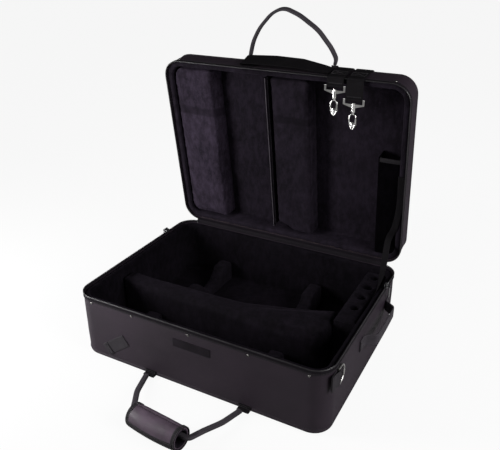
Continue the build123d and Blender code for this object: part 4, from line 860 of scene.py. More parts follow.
def settle(obj, held, voxel=0.005, share=1.0):
    """Swells a pad by cloth simulation: points in `held` stay, and none moves further than its share of the swell."""
    scene, cap = bpy.context.scene, looks().swell * share
    remesh = obj.modifiers.new("remesh", "REMESH")
    remesh.mode, remesh.voxel_size = "VOXEL", voxel
    apply_modifiers(obj)
    start = coordinates(obj.data)
    obj.vertex_groups.new(name="held").add(np.nonzero(held(start / MM))[0].tolist(), 1.0, "REPLACE")
    cloth = obj.modifiers.new("cloth", "CLOTH")
    rules = cloth.settings
    rules.quality, rules.mass = 4, 0.3
    rules.use_pressure, rules.uniform_pressure_force = True, 4.0
    rules.effector_weights.gravity = 0.0
    rules.vertex_group_mass = "held"
    rules.tension_stiffness = rules.compression_stiffness = 12.0
    cloth.collision_settings.use_collision = False
    cloth.point_cache.frame_start, cloth.point_cache.frame_end = 1, CLOTH_FRAMES
    for step in range(1, CLOTH_FRAMES + 1):
        scene.frame_set(step)
    move = coordinates(obj.evaluated_get(bpy.context.view_layer.depsgraph).data) - start
    far = np.linalg.norm(move, axis=1)
    move *= (np.minimum(far, cap) / np.maximum(far, 1e-9))[:, None]
    obj.modifiers.remove(cloth)
    obj.vertex_groups.clear()
    obj.data.vertices.foreach_set("co", (start + move).ravel())
    obj.data.update()
    scene.frame_set(1)
    smooth = obj.modifiers.new("smooth", "SUBSURF")
    smooth.levels = smooth.render_levels = 1
    apply_modifiers(obj)
    obj.data.shade_smooth()


def apply_modifiers(obj):
    """Replaces the mesh by what its modifiers make of it."""
    graph = bpy.context.evaluated_depsgraph_get()
    made = bpy.data.meshes.new_from_object(obj.evaluated_get(graph), depsgraph=graph)
    old, name = obj.data, obj.data.name
    obj.modifiers.clear()
    obj.data = made
    bpy.data.meshes.remove(old)
    made.name = name


def pad_block(plan, low, high, round_r, place, foot_spread=None, inset=1.6):
    """Padded block: its plan carried up from foot to face, rounded at both, drawn in a little before it swells."""
    plan = np.asarray(plan, float)
    area = np.sum(plan[:, 0] * np.roll(plan[:, 1], -1) - np.roll(plan[:, 0], -1) * plan[:, 1])
    ahead = np.roll(plan, -1, 0) - np.roll(plan, 1, 0)
    ahead /= np.linalg.norm(ahead, axis=1)[:, None]
    normal = np.sign(area) * stack(ahead[:, 1], -ahead[:, 0])
    turn = np.linspace(0, np.pi / 2, 6)
    sign = 1 if high > low else -1
    top = stack(-inset - round_r * (1 - np.cos(turn)), high - sign * round_r * (1 - np.sin(turn)))
    levels = np.linspace(low, high - sign * round_r, 14)[:-1]
    profile = np.concatenate([[(-inset - 2.0, low)], stack(-inset, levels), top])
    xy = plan[:, None] + normal[:, None] * profile[None, :, :1]
    if foot_spread is not None:
        xy = xy + foot_spread(plan, profile[:, 1])
    p = place(stack(xy[..., 0], xy[..., 1], profile[None, :, 1]))
    run = np.append(lengths(plan), lengths(plan)[-1] + np.linalg.norm(plan[0] - plan[-1]))
    return Shape().grid(p, run, np.append(lengths(profile), 0), wrap_u=True, cap_v=True)


def shoulder(inside, r):
    """Drop of a face near its rounded edge, at distances inside that edge."""
    return np.sqrt(np.maximum(r**2 - (r - np.minimum(inside, r)) ** 2, 0.0)) - r


def pad_piece(shape, name, body, look, node, fill, held=None, **swelling):
    """Makes the pad that stands for a node and swells it where points are held. Its fill is not used."""
    piece = shape.make(name, body, look, (node,), "padding")
    if held:
        settle(piece, held, **swelling)


def same(points):
    """Points that are in the part's frame already."""
    return np.asarray(points, float)


def base_pads():
    """The tall divider between the two instruments and the four saddles that they lie in."""
    plan = [(-264.0, -80.0), (70.0, -81.0), (150.0, -74.0), (214.0, -60.0), (214.0, 28.0), (120.0, -2.0),
            (20.0, -32.0), (-264.0, -41.0)]
    ring = even(rounded(plan, [5, 60, 60, 9, 9, 60, 80, 5], 3.0, True), 3.0)
    pad = pad_block(ring, LINING_FLOOR, DIVIDER_TOP, 5.0, same)
    held = lambda p: (p[:, 2] < LINING_FLOOR + 6) | (p[:, 0] < -258)
    pad_piece(pad, "centre_divider_pad", "base", "pad", "centre_divider", 0.8, held)

    t, half = np.linspace(0, 1, 9) * 1.57, 15.6
    wall = stack(-half, np.linspace(0, 0.93, 12))
    side = np.concatenate([wall, stack(-half + 3.6 * (1 - np.cos(t)), 0.93 + 0.07 * np.sin(t))])
    section = np.concatenate([side, side[::-1] * (-1, 1)])
    v = np.append(lengths(section * (1, 50)), 0)
    for name, x, groove, y, span in SADDLES:
        reach = span / 2 - 1.2
        across = np.linspace(-reach, reach, int(span / 3))
        dip = SADDLE_TOP + 0.35 * groove - np.sqrt(np.maximum(groove**2 - across**2, 0.0))
        top = np.minimum(np.where(np.abs(across) < groove, dip, SADDLE_TOP), SADDLE_TOP)
        height = np.maximum(top + shoulder(reach - np.abs(across), 5.0) - LINING_FLOOR, 3.0)
        p = stack(x + section[:, 0], y + across[:, None], LINING_FLOOR + height[:, None] * section[:, 1])
        shape = Shape().grid(p, across, v, wrap_v=True, cap_u=True)
        pad_piece(shape, f"{name}_pad", "base", "pad", name, 0.7, lambda q: q[:, 2] < LINING_FLOOR + 5)


def mouthpiece_pad():
    """Holder pad: four cells, each a surface from a round bore to the cell's border, over walls to the floor."""
    x0, x1, top, r = 216.4, 260.8, 126.0, 10.0
    borders = [-19.7, 59.0, 103.0, 147.0, 189.7]
    middle = (x0 + x1) / 2
    t = np.linspace(0, 1, 13)[:-1]
    share = np.concatenate([[0, 0, 0, 0], 1 - np.cos(np.linspace(0, 1, 14)[1:] * np.pi / 2)])
    shape = Shape()
    for low, high, bore in zip(borders[:-1], borders[1:], BORES_Y):
        border = np.concatenate([
            stack(x0 + (x1 - x0) * t, low), stack(x1, low + (high - low) * t),
            stack(x1 - (x1 - x0) * t, high), stack(x0, high - (high - low) * t),
        ])
        turn = -0.75 * np.pi + np.linspace(0, 2 * np.pi, len(border), endpoint=False)
        circle = stack(middle + r * np.cos(turn), bore + r * np.sin(turn))
        xy = circle[:, None] + (border - circle)[:, None] * share[None, :, None]
        x, y = xy[..., 0], xy[..., 1]
        near = np.linalg.norm(xy - [middle, bore], axis=-1) - r
        z = top + shoulder(np.minimum.reduce([x - x0, x1 - x, y - borders[0], borders[-1] - y]), 4.0)
        z = z - 2.0 * np.clip(1 - near / 3.0, 0, 1) ** 2 + 1.4 * np.sin(np.clip(near / 14.0, 0, 1) * np.pi)
        z[:, :4] = top - np.array([114.0, 60.0, 14.0, 2.2])
        u, v = np.append(np.arange(len(border)) * 3.0, 144.0), np.arange(len(share)) * 2.0
        shape.grid(stack(x, y, z), u, v, wrap_u=True)
    ring = ring_of([(x0, borders[0]), (x1, borders[0]), (x1, borders[-1]), (x0, borders[-1])], 1.0, arc_step=1.0)
    levels = np.array([top - 4.2, 110.0, 80.0, 50.0, 25.0, LINING_FLOOR])
    shape.grid(stack(ring[:, :1], ring[:, 1:], levels), np.append(lengths(ring), 0), levels, wrap_u=True)
    piece = shape.make("mouthpiece_pad", "base", "pad", ("mouthpiece_holder",), "padding", sharp=50.0)


def lid_pads():
    """Long pads inside the lid: the wide one at the left end and the beam beside the divider."""
    end = INNER_Y - 4.0
    left = [(-265.2, -end), (-265.2, end), (-165.5, end), (-165.5, -end)]
    beam = [(-22.5, -end), (-22.5, end - 22.0), (21.5, end), (69.0, end), (69.0, -end)]

    def spread(plan, depth):
        """The left pad's free side widens towards its foot and waves at its face."""
        free = np.clip((plan[:, 0] + 200) / 30, 0, 1)[:, None]
        wavy = waves(plan[:, 1:2], 0.0, 11, 120.0, 7.0) * np.clip((45 - depth) / 20, 0, 1)
        move = free * (8.0 * (depth - 13.0) / 37.5 + wavy)
        return stack(move, 0.0 * move)

    # The left pad takes a lighter plush copy, painted light; both pads carry the painted darker band
    for name, node, look, plan, radii, foot in (
        ("lid_left_pad", "lid_left_block", "left_block", left, [24, 24, 3, 3], spread),
        ("lid_beam_pad", "lid_beam", "beam", beam, [3, 6, 6, 4, 4], None),
    ):
        pad = pad_block(ring_of(plan, radii), LID_FLOOR_D, PAD_FACE_D, 2.5, in_lid, foot, inset=0.8)
        pad_piece(pad, name, "lid", look, node, 0.8, lambda p: deep(p) > LID_FLOOR_D - 6, voxel=0.004, share=0.5)


def deep(p):
    """Depth of points from the lid's parting plane."""
    return (p[:, 1] - HINGE_Y) * sin(LID_OPEN) + (p[:, 2] - HINGE_Z) * cos(LID_OPEN)


def lid_divider_pieces():
    """Thin plush divider on edge, its free edge bound, piped and sewn along each side."""
    x, t, d0 = -28.5, 4.0, 7.0
    y0, y1 = -(INNER_Y - 4.0), INNER_Y - 15.0
    y = np.linspace(y0, y1, 130)
    sway = waves(y, 0.0, 31, 160.0, 1.1) * np.sin(np.pi * (y - y0) / (y1 - y0))
    side = np.array([(-t / 2, LID_FLOOR_D - 0.3), (-t / 2 - 0.2, 30.0), (-t / 2, 16.0), (-t / 2, d0 + 1)])
    section = np.concatenate([side, [(0.0, d0)], side[::-1] * (-1, 1)])
    lean = np.clip((40.0 - section[:, 1]) / 30, 0, 1)
    p = in_lid(stack(x + section[:, 0] + sway[:, None] * lean, y[:, None], section[:, 1]))
    panel = Shape().grid(p, y, np.append(section[:, 1], section[0, 1]), wrap_v=True, cap_u=True)
    pad_piece(panel, "lid_divider_panel", "lid", "pad", "lid_divider", 0.9)

    turn = np.linspace(0, np.pi, 9)
    fold = stack(-2.7 * np.cos(turn), d0 + 0.8 - 2.0 * np.sin(turn))
    inside = [(2.9, 10.0), (2.9, 13.6), (2.2, 13.9), (2.0, 9.0), (-2.0, 9.0), (-2.2, 13.9)]
    section = np.concatenate([[(-2.9, 13.6), (-2.9, 10.0)], fold, inside])
    p = in_lid(stack(x + section[:, 0] + sway[:, None], y[:, None], section[:, 1]))
    bound = Shape().grid(p, y, np.append(lengths(section), 40.0), wrap_v=True, cap_u=True)
    bound.make("lid_divider_edge", "lid", "pad", ("lid_divider_binding",), "tape")
    # The cord's pale colour paints the highlight along the divider's free edge
    cord = Shape().sweep(in_lid(stack(x + sway + 0.2, y, d0 - 1.2)), (1, 0, 0), webbing_section(1.2, 0.9, 10, 0.9))
    cord.make("lid_divider_piping", "lid", "piping", slot="tape")
    rows = Shape()
    for side in (-1, 1):
        rows.stitches(in_lid(stack(x + sway + side * 3.0, y, 11.8)), (side, 0, 0), stitch_mm())
    rows.sew("lid_divider_stitches", "lid", "tape")


def pocket_pieces():
    """Accessory pocket: a padded panel bent round its corner, sagging a little, with tape over its mouth."""
    x0, top_y, d0, t, corner = 218.5, -43.0, 12.0, 3.0, 24.5
    rows = 90
    y = np.linspace(top_y + 0.4, INNER_Y - 0.6, rows)
    bent = np.maximum(corner**2 - (y - INNER_Y + corner) ** 2, 0)
    far = (INNER_X - 0.4 - np.where(y > INNER_Y - corner, corner - np.sqrt(bent), 0.0))[:, None]
    turn = np.linspace(0, np.pi / 2, 7)
    bend = stack(x0 + 5 - 5 * np.sin(turn), d0 + 5 - 5 * np.cos(turn))
    side = stack(x0, np.linspace(d0 + 5, LID_FLOOR_D - 0.4, 8)[1:])
    front = stack(x0 + 5 + (far - x0 - 5) * np.linspace(1.0, 0.0, 12)[:-1], d0)
    outline = np.concatenate([front, *(np.broadcast_to(part, (rows, *part.shape)) for part in (bend, side))], 1)
    inner = np.maximum(outline, (x0 + t, d0 + t))
    puff = waves(y[:, None], outline[..., 0] * 1.5, 41, 45.0, 1.1)
    puff += 1.2 * np.sin(np.pi * np.linspace(0, 1, rows))[:, None]
    on_face = np.clip((outline[..., 0] - x0 - 3) / 12, 0, 1) * np.clip((far - outline[..., 0]) / 10, 0, 1)
    outline[..., 1] -= puff * on_face
    section = np.concatenate([outline, inner[:, ::-1]], 1)
    p = in_lid(stack(section[..., 0], y[:, None], section[..., 1]))
    shape = Shape().grid(p, y, np.arange(section.shape[1] + 1) * 3.0, wrap_v=True, cap_u=True)
    # The pocket takes the darkest plush copy: painted shade in the lid's corner
    shape.make("lid_pocket_panel", "lid", "pocket", ("lid_accessory_box",), "lining")

    x = np.linspace(x0 + 4.2, INNER_X - 0.3, 24)
    turn = np.linspace(-np.pi / 2, np.pi / 2, 9)
    fold = stack(top_y + 1.2 - 2.7 * np.cos(turn), d0 + 1.5 + 2.9 * np.sin(turn))
    ends = [(top_y + 7.2, d0 + 4.3), (top_y + 7.0, d0 + 3.1), (top_y + 1.0, d0 + 3.0), (top_y + 1.0, d0)]
    section = np.concatenate([[(top_y + 7.2, d0 - 1.3)], fold, ends, [(top_y + 7.0, d0 - 0.1)]])
    dip = 1.4 * np.sin(np.pi * (x - x[0]) / (x[-1] - x[0])) * 0.4
    p = in_lid(stack(x[:, None], section[:, 0], section[:, 1] - dip[:, None]))
    edge = Shape().grid(p, x, np.append(lengths(section), 40.0), wrap_v=True, cap_u=True)
    edge.stitches(in_lid(stack(x, top_y + 5.4, d0 - 1.45 - dip)), lid_way(0, 0, -1), stitch_mm())
    edge.make("lid_pocket_edge", "lid", "binding", ("lid_pocket_binding",), "tape")


# ---- Webbing ---------------------------------------------------------------------------------
def strap(shape, path, across, width, thick):
    """Flat webbing along a path."""
    return shape.sweep(path, across, webbing_section(width, thick))


def box_stitch(shape, corner, along, across, up, length, width, cross=True):
    """Sewn rectangle with its diagonals, on a flat piece of webbing."""
    corner, along, across = (np.asarray(a, float) for a in (corner, along, across))
    a, b, c, d = corner, corner + along * length, corner + along * length + across * width, corner + across * width
    runs = [(a, b), (b, c), (c, d), (d, a)] + ([(a, c), (b, d)] if cross else [])
    for first, last in runs:
        shape.stitches(np.linspace(first, last, 12), up, 2.6, 0.9, 0.28)


def side_handle():
    """Webbing strap bowed off the right end wall, its ends sewn flat."""
    first, last, low, high = -42.0, 146.0, END_X + 1.7, END_X + 23.0
    near = [(low, first), (low, first + 24), (high, first + 38)]
    path = even(rounded([*near, (high, last - 38), (low, last - 24), (low, last)], 9.0), 2.0)
    bow = 1.6 * np.sin(np.pi * (path[:, 1] - first) / (last - first)) ** 2
    shape = strap(Shape(), stack(path[:, 0] + bow, path[:, 1], SIDE_HANDLE_Z), (0, 0, 1), 25.0, 3.0)
    stitch = Shape()
    for y, sense in ((first + 2.5, 1), (last - 2.5, -1)):
        corner = (low + 1.65, y, SIDE_HANDLE_Z - 10.0)
        box_stitch(stitch, corner, (0, sense, 0), (0, 0, 1), (1, 0, 0), 17.0, 20.0)
    shape.make("side_handle_strap", "base", "webbing", ("side_handle",), "webbing")
    stitch.sew("side_handle_stitches", "base", "webbing")


def front_tab():
    """Short webbing tab sewn on the front at a tilt, its lower end turned back on itself."""
    tilt = radians(36.0)
    along, across, out = np.array([(cos(tilt), 0, sin(tilt)), (-sin(tilt), 0, cos(tilt)), (0, -1.0, 0)])
    place = lambda s, lift: np.array([-183.5, FRONT_Y, 46.0]) + np.outer(s, along) + np.outer(lift, out)
    s = np.linspace(32.5, -31.0, 36)
    turn = np.linspace(-np.pi / 2, np.pi / 2, 9)
    main = place(s, 0.95 + 0.5 * np.exp(-((s + 31) / 5) ** 2))
    nose = place(-31.0 - 1.3 * np.cos(turn), 2.2 + 0.9 * np.sin(turn))
    back = place(np.linspace(-30.0, -20.0, 10), np.linspace(2.9, 2.3, 10))
    shape = strap(Shape(), even(np.concatenate([main, nose, back]), 1.5), across, 27.0, 1.7)
    shape.make("front_tab_strap", "base", "ring_webbing", ("front_tab",), "webbing")
    stitch = Shape()
    for start, lift, length in ((-28.0, 3.75, 6.0), (18.0, 1.85, 12.0)):
        box_stitch(stitch, place(start, lift)[0] - across * 11.0, along, across, out, length, 22.0, False)
    stitch.sew("front_tab_stitches", "base", "webbing")


def ring_tabs():
    """Webbing loops that hold the D-rings: from the wall round the straight bar and back."""
    turn, r = np.linspace(-np.pi / 2, np.pi / 2, 13), 3.05
    for side, sign, y in (("left", -1, -150.0), ("right", 1, -166.5)):
        tail = [(0.75, y - 25.0), (0.75, y - 12.0), (0.95, y - 3.0)]
        nose = stack(4.2 + r * np.sin(turn), y + r * np.cos(turn))
        flat = np.concatenate([tail, nose, [(7.1, y - 2.5), (4.5, y - 11.0), (2.3, y - 25.0)]])
        path = even(stack(sign * (END_X + flat[:, 0]), flat[:, 1], RING_Z), 1.0)
        shape = strap(Shape(), path, (0, 0, 1), 33.4, 1.4)
        shape.make(f"d_ring_{side}_strap", "base", "ring_webbing", (f"d_ring_tab_{side}",), "webbing")
        stitch = Shape()
        rows = stack(sign * (END_X + np.linspace(3.6, 5.0, 12)), np.linspace(y - 22.0, y - 9.0, 12), RING_Z)
        for z in (-13.5, 13.5):
            stitch.stitches(rows + [0, 0, z], (sign, -0.1, 0), 2.6, 0.9, 0.28)
        stitch.sew(f"d_ring_{side}_stitches", "base", "webbing")


def lid_handle():
    """Lid handle: loop of folded webbing, its two feet over the lid's outer edge, and the raised run between them."""
    foot_y, depth, normal = FRONT_Y - 4.7, 63.0, lid_way(0, 0, 1)
    feet_x = (-90.0, 105.0)
    points = [(-80.0, 34.0), (-62.0, 64.0), (-32.0, 95.0), (-4.0, 107.5), (30.0, 94.0), (70.0, 67.0), (98.0, 32.0),
              (108.0, 12.0)]
    corners = [(feet_x[0], foot_y), *[(x, foot_y - out) for x, out in points], (feet_x[1], foot_y)]
    path = even(rounded(corners, (110, 110, 70, 34, 100, 90, 80, 14)), 2.0)
    path = in_lid(stack(path[:, 0], path[:, 1], depth))
    count = np.arange(len(path))
    slim = 0.7 + 0.3 * np.clip(np.minimum(count, count[::-1]) / 6.0, 0, 1)
    loop = Shape().sweep(path, normal, webbing_section(13.0, 6.5, 26, 0.5) * stack(slim, 1.0)[:, None])
    loop.make("lid_handle_strap", "lid_handle", "webbing", ("lid_handle_loop",), "webbing")

    feet, stitch = Shape(), Shape()
    turn = np.linspace(-np.pi / 2, np.pi / 2, 9)
    nose = stack(FRONT_Y - 1.8 - 0.9 * np.cos(turn), depth - 0.9 * np.sin(turn))[:-6:-1]
    flat = np.concatenate([nose, [(FRONT_Y + 1.0, depth), (FRONT_Y + 20.0, depth + 0.05), (FRONT_Y + 40.2, depth)]])
    for x in feet_x:
        strap(feet, even(in_lid(stack(x, flat[:, 0], flat[:, 1])), 2.0), (1, 0, 0), 15.0, 2.0)
        corner = in_lid([x - 5.5, FRONT_Y + 10.0, depth + 1.05])
        box_stitch(stitch, corner, lid_way(0, 1, 0), (1, 0, 0), normal, 26.0, 11.0)
    feet.make("lid_handle_anchors", "lid", "webbing", ("lid_handle_feet",), "webbing")
    stitch.sew("lid_handle_stitches", "lid", "webbing")

    points = [(-58.0, 1.3), (-89.0, 1.3), (-90.0, 12.5), (-20.0, 16.4), (42.0, 15.0), (90.0, 6.0), (109.0, 1.3)]
    run = even(rounded([(x, FRONT_Y - rise) for x, rise in points], (5, 5, 150, 60, 20)), 2.0)
    rise = FRONT_Y - run[:, 1]
    near_share = 0.45 + 0.55 * np.exp(-((rise - 1.3) / 2.0) ** 2)  # the edge at the rim rises less than the other
    middle = 33.3 + waves(lengths(run), 0.0, 51, 150.0, 0.5)
    path = in_lid(stack(run[:, 0], FRONT_Y - rise * (1 + near_share) / 2, middle))
    tilt = in_lid(stack(0.0, rise * (near_share - 1), 36.0)) - in_lid((0, 0, 0))
    # The run takes the shaded copy of the webbing: painted shade where it lies across the lid's front wall
    strap(Shape(), path, tilt, 36.0, 1.8).make("lid_handle_band", "lid", "shaded_webbing", ("lid_handle_run",), "webbing")


def base_handle():
    """Base handle: webbing loop lying forward on the ground, and its feet sewn under the front edge."""
    c, s = cos(GRIP_TURN), sin(GRIP_TURN)
    at_grip = [(GRIP_MID[0] + span * c - GRIP_SIDE * s, GRIP_MID[1] + span * s + GRIP_SIDE * c)
               for span in (-GRIP_L / 2 - 11.0, GRIP_L / 2 + 9.0)]
    corners = [(-103.5, -2.3), (-84.0, -57.0), (-68.0, -83.0), *at_grip, (88.0, -88.0), (104.0, -50.0), (113.5, -2.3)]
    path = even(rounded(corners, (90, 60, 13, 9, 60, 90)), 2.0)
    points = in_swing(stack(path[:, 0], path[:, 1], 0.0))
    flat_side = np.cross(SWING_Z, np.gradient(points, axis=0))
    shape = Shape().sweep(points, flat_side, webbing_section(11.0, 7.0, 26, 0.5))
    shape.make("base_handle_strap", "base_handle", "webbing", ("base_handle_loop",), "webbing")

    feet, stitch = Shape(), Shape()
    flat = np.array([(FRONT_Y - 0.8, 13.0), (FRONT_Y - 1.0, 5.2), (FRONT_Y - 8.0, 5.0), (FRONT_Y - 9.4, 5.0)])
    path = even(rounded(flat, (1.2, 30.0), 0.4), 1.2)
    for x in (-99.0, 118.0):
        strap(feet, stack(x, path[:, 0], path[:, 1]), (1, 0, 0), 26.0, 1.9)
        strap(feet, stack(x, np.linspace(FRONT_Y - 0.9, FRONT_Y - 9.6, 8), 5.0), (1, 0, 0), 26.0, 3.4)
        box_stitch(stitch, (x - 10.5, FRONT_Y - 1.95, 7.5), (0, 0, 1), (1, 0, 0), (0, -1, 0), 4.0, 21.0, False)
    # The feet take the shaded copy of the webbing: painted shade under the case's front edge
    feet.make("base_handle_anchors", "base", "shaded_webbing", ("base_handle_feet",), "webbing")
    stitch.sew("base_handle_stitches", "base", "webbing")


def grip_sheet(start, end, inner, outer, full):
    """Part of a padded roll, as a closed skin: thickest in the middle, pinched along its bound edges."""
    angle = np.radians(np.linspace(start, end, 40))
    along = np.concatenate([[-1.0], np.linspace(-0.985, 0.985, 40), [1.0]])[:, None] * GRIP_L / 2
    t = (angle - angle[0]) / (angle[-1] - angle[0])
    edge_a = np.clip(np.minimum(t, 1 - t) / 0.09, 0, 1)
    edge_s = np.clip((GRIP_L / 2 - np.abs(along)) / 7.0, 0, 1)
    round_off = np.sqrt(1 - (1 - edge_a) ** 2) * np.sqrt(1 - (1 - edge_s) ** 2)
    belly = np.sin(np.pi * np.clip(t, 0, 1) ** 1.5)
    swell = full * belly * np.sin(np.pi * np.clip(along / GRIP_L + 0.5, 0, 1)) ** 0.8
    thick = (outer - inner) * (0.42 + 0.58 * round_off) + swell
    wrinkle = waves(along * 0.7, angle * 40, 61, 26.0, 0.35) * round_off
    top = in_grip(along, inner + thick + wrinkle, angle)
    low = in_grip(along, inner + 0 * thick, angle)
    v = np.concatenate([angle * 20, angle[::-1] * 20, [angle[0] * 20]])
    return Shape().grid(np.concatenate([top, low[:, ::-1]], 1), along[:, 0], v, wrap_v=True, cap_u=True)


def grip_pieces():
    """Padded grip: inner roll round the webbing, outer wrap and the flap that closes over it, with bound edges."""
    turn = np.linspace(0, 2 * np.pi, 65)[:-1]
    end = GRIP_L / 2
    along = np.concatenate([[-end], np.linspace(1 - end, end - 1, 30), [end]])[:, None]
    chamfer = 0.6 * (np.abs(along) > end - 0.5)
    ring = np.concatenate([in_grip(along, 16.6 - chamfer, turn), in_grip(along, 14.0 + chamfer, turn)[::-1]])
    u, v = np.append(np.arange(len(ring)) * 3.0, 192.0), np.append(turn * 16, 100.0)
    Shape().grid(ring, u, v, wrap_u=True, wrap_v=True).make("grip_roll", "base_handle", "grip_inside", (), "grip")
    wrap = grip_sheet(226.0, 424.0, 16.9, 21.3, 0.6)
    wrap.make("grip_wrap_skin", "base_handle", "grip", ("grip_wrap",), "grip")
    flap = grip_sheet(75.0, 223.0, 16.9, 21.5, 3.6)
    flap.make("grip_flap_skin", "grip_cover", "grip", ("grip_flap",), "grip")

    half, centre = end - 2.6, in_grip(0.0, 0.0, 0.0)
    axis = in_grip(1.0, 0.0, 0.0) - centre
    s = np.linspace(-half, half, 60)
    bulge = 0.4 + 3.0 * np.sin(np.pi * (s / GRIP_L + 0.5)) ** 0.8
    for name, body, start, stop, seam, wide, swell in (
        ("grip_flap_edge", "grip_cover", 78.0, 220.0, 191.0, 15.0, bulge),
        ("grip_wrap_edge", "base_handle", 228.0, 422.0, 250.0, EDGE_TAPE_W, 0.0),
    ):
        edge, rows = Shape(), Shape()
        a = np.radians(np.linspace(start, stop, 60))
        long_edge = in_grip(s, BOUND_R + swell, radians(seam))
        ends = [(in_grip(side, 21.2, a), EDGE_TAPE_W) for side in (-half, half)]
        for path, width in (*ends, (long_edge, wide)):
            out = path - centre - ((path - centre) @ axis)[:, None] * axis
            out /= np.linalg.norm(out, axis=1)[:, None]
            across = np.cross(np.gradient(path, axis=0), out)
            across /= np.linalg.norm(across, axis=1)[:, None]
            section, bend = webbing_section(width, 2.6, 20, 0.45), (width > 10.0) / (2 * BOUND_R)
            edge.sweep(path, across, section + stack(0.0, bend * section[:, 0] ** 2))
            for side in (1.1 - width / 2, width / 2 - 1.1):
                rows.stitches(path + across * side + out * (1.15 - bend * side**2), out, 2.4, 0.9, 0.26)
        edge.make(name, body, "binding", (), "grip")
        rows.sew(f"{name}_stitches", body, "grip")


def shoulder_strap():
    """Shoulder strap: from a loop round each hook's bar over the rim, up the lid's front wall and across its face."""
    c, s = cos(np.pi / 2 - LID_OPEN), -sin(np.pi / 2 - LID_OPEN)
    rim_d, wall_y, inside_y, top_d, width = STRAP_IN_D, FRONT_Y - 1.9, STRAP_IN_Y, 62.9, 35.0
    turn = np.linspace(0, 2 * np.pi, 29)[:-1]
    shape, stitch = Shape(), Shape()
    for x, drop in HOOKS:
        bar = np.array([inside_y + drop * c, rim_d + drop * s])
        corners = [(wall_y - 1.2, rim_d + 34.0), (wall_y - 1.2, rim_d), (inside_y, rim_d), bar - np.array([c, s]) * 2.6]
        path = even(rounded(corners, 1.7, 0.5), 1.2)
        strap(shape, in_lid(stack(x, path[:, 0], path[:, 1])), (1, 0, 0), width, 2.4)
        eye = in_lid(stack(x, bar[0] + 2.65 * np.cos(turn), bar[1] + 2.65 * np.sin(turn)))
        shape.sweep(eye, (1, 0, 0), webbing_section(width, 1.2), loop=True)
        leg = even(rounded([(wall_y - 0.6, rim_d + 17.0), (wall_y - 0.6, top_d), (112.5, top_d)], 8.5, 1.0), 2.5)
        lift = 0.25 + waves(lengths(leg), 0.0, 71 + int(x), 90.0, 0.25)
        path = in_lid(stack(x, leg[:, 0], leg[:, 1] + np.where(leg[:, 1] > 60, lift, 0)))
        strap(shape, path, (1, 0, 0), width, 1.3)
        corner = in_lid([x - 14.0, wall_y - 2.5, 14.0])
        box_stitch(stitch, corner, lid_way(0, 0, 1), (1, 0, 0), lid_way(0, -1, 0), 17.0, 28.0)
        ends = in_lid(stack(np.linspace(x - 14, x + 14, 10), bar[0] - 6 * c, bar[1] - 6 * s - 1.3))
        stitch.stitches(ends, lid_way(0, 0, -1), 2.6, 0.9, 0.28)
    cross = in_lid(stack(np.linspace(113.0, 188.5, 30), 95.0, top_d + 1.4))
    strap(shape, cross, lid_way(0, 1, 0), width, 1.3)
    shape.make("shoulder_strap_web", "lid", "shaded_webbing", ("shoulder_strap",), "webbing")
    stitch.sew("shoulder_strap_stitches", "lid", "webbing")


def snap_hooks():
    """Lower half of each swivel hook: turned post and collar, tapering loop open at its gate, and its filled tip."""
    c, t = cos(np.pi / 2 - LID_OPEN), -sin(np.pi / 2 - LID_OPEN)
    turn = np.linspace(0, 2 * np.pi, 25)[:-1, None]
    # Radii of the turned post with its collar, and their heights from the bar.
    r = np.array([0.1, 3.2, 3.6, 3.6, 3.2, 2.0, 2.0, 2.0, 3.1, 3.6, 3.6, 2.9, 2.4, 2.2, 0.1])
    b = np.array([-5.6, -5.6, -6.0, -7.5, -7.9, -7.95, -15.0, -22.1, -22.1, -22.5, -24.2, -25.2, -27.0, -29.0, -29.2])
    loop = through([(6.5, -35.4), (5.6, -31.4), (3.0, -28.6), (0.0, -27.8), (-3.2, -28.6), (-6.0, -31.6), (-7.1, -37.0),
                    (-6.4, -44.0), (-4.9, -51.0), (-2.6, -56.6), (0.3, -58.2), (2.9, -56.0), (4.6, -52.0),
                    (5.9, -48.4)], 0.8)
    slim = 1.0 - 0.25 * np.clip((-42.0 - loop[:, 1]) / 16.0, 0, 1)
    section = webbing_section(2.9, 5.0, 14, 0.7) * slim[:, None, None]
    h, share = np.linspace(-44.0, -56.2, 12)[:, None], np.linspace(0, 1, 9)
    left, right = -6.2 + (h + 44.0) * -0.26, 5.2 + (h + 47.0) * 0.30
    front = 1.5 * np.sin(np.pi * share) * np.sin(np.pi * np.linspace(0.12, 0.9, 12))[:, None] + 0.5
    width = left + (right - left) * share
    for number, (x, drop) in enumerate(HOOKS, 1):
        origin = in_lid([x, STRAP_IN_Y + drop * c, STRAP_IN_D + drop * t])
        place = lambda across, up, out: origin + stack(across, -np.asarray(out, float), up)
        post = place(r * np.cos(turn), b, r * np.sin(turn))
        shape = Shape().grid(post, np.arange(25) * 1.0, b, wrap_u=True, cap_v=True)
        path = place(loop[:, 0], loop[:, 1], 0.0)
        shape.sweep(path, np.cross((0, 1.0, 0), np.gradient(path, axis=0)), section)
        tip = np.concatenate([place(width, h, front), place(width, h, -front)[:, ::-1]], 1)
        shape.grid(tip, h[:, 0], np.arange(19) * 1.0, wrap_v=True, cap_u=True)
        shape.make(f"snap_hook_{number}", f"hook_{number}_body", "chrome", (f"hook_body_{number}",), "chrome")


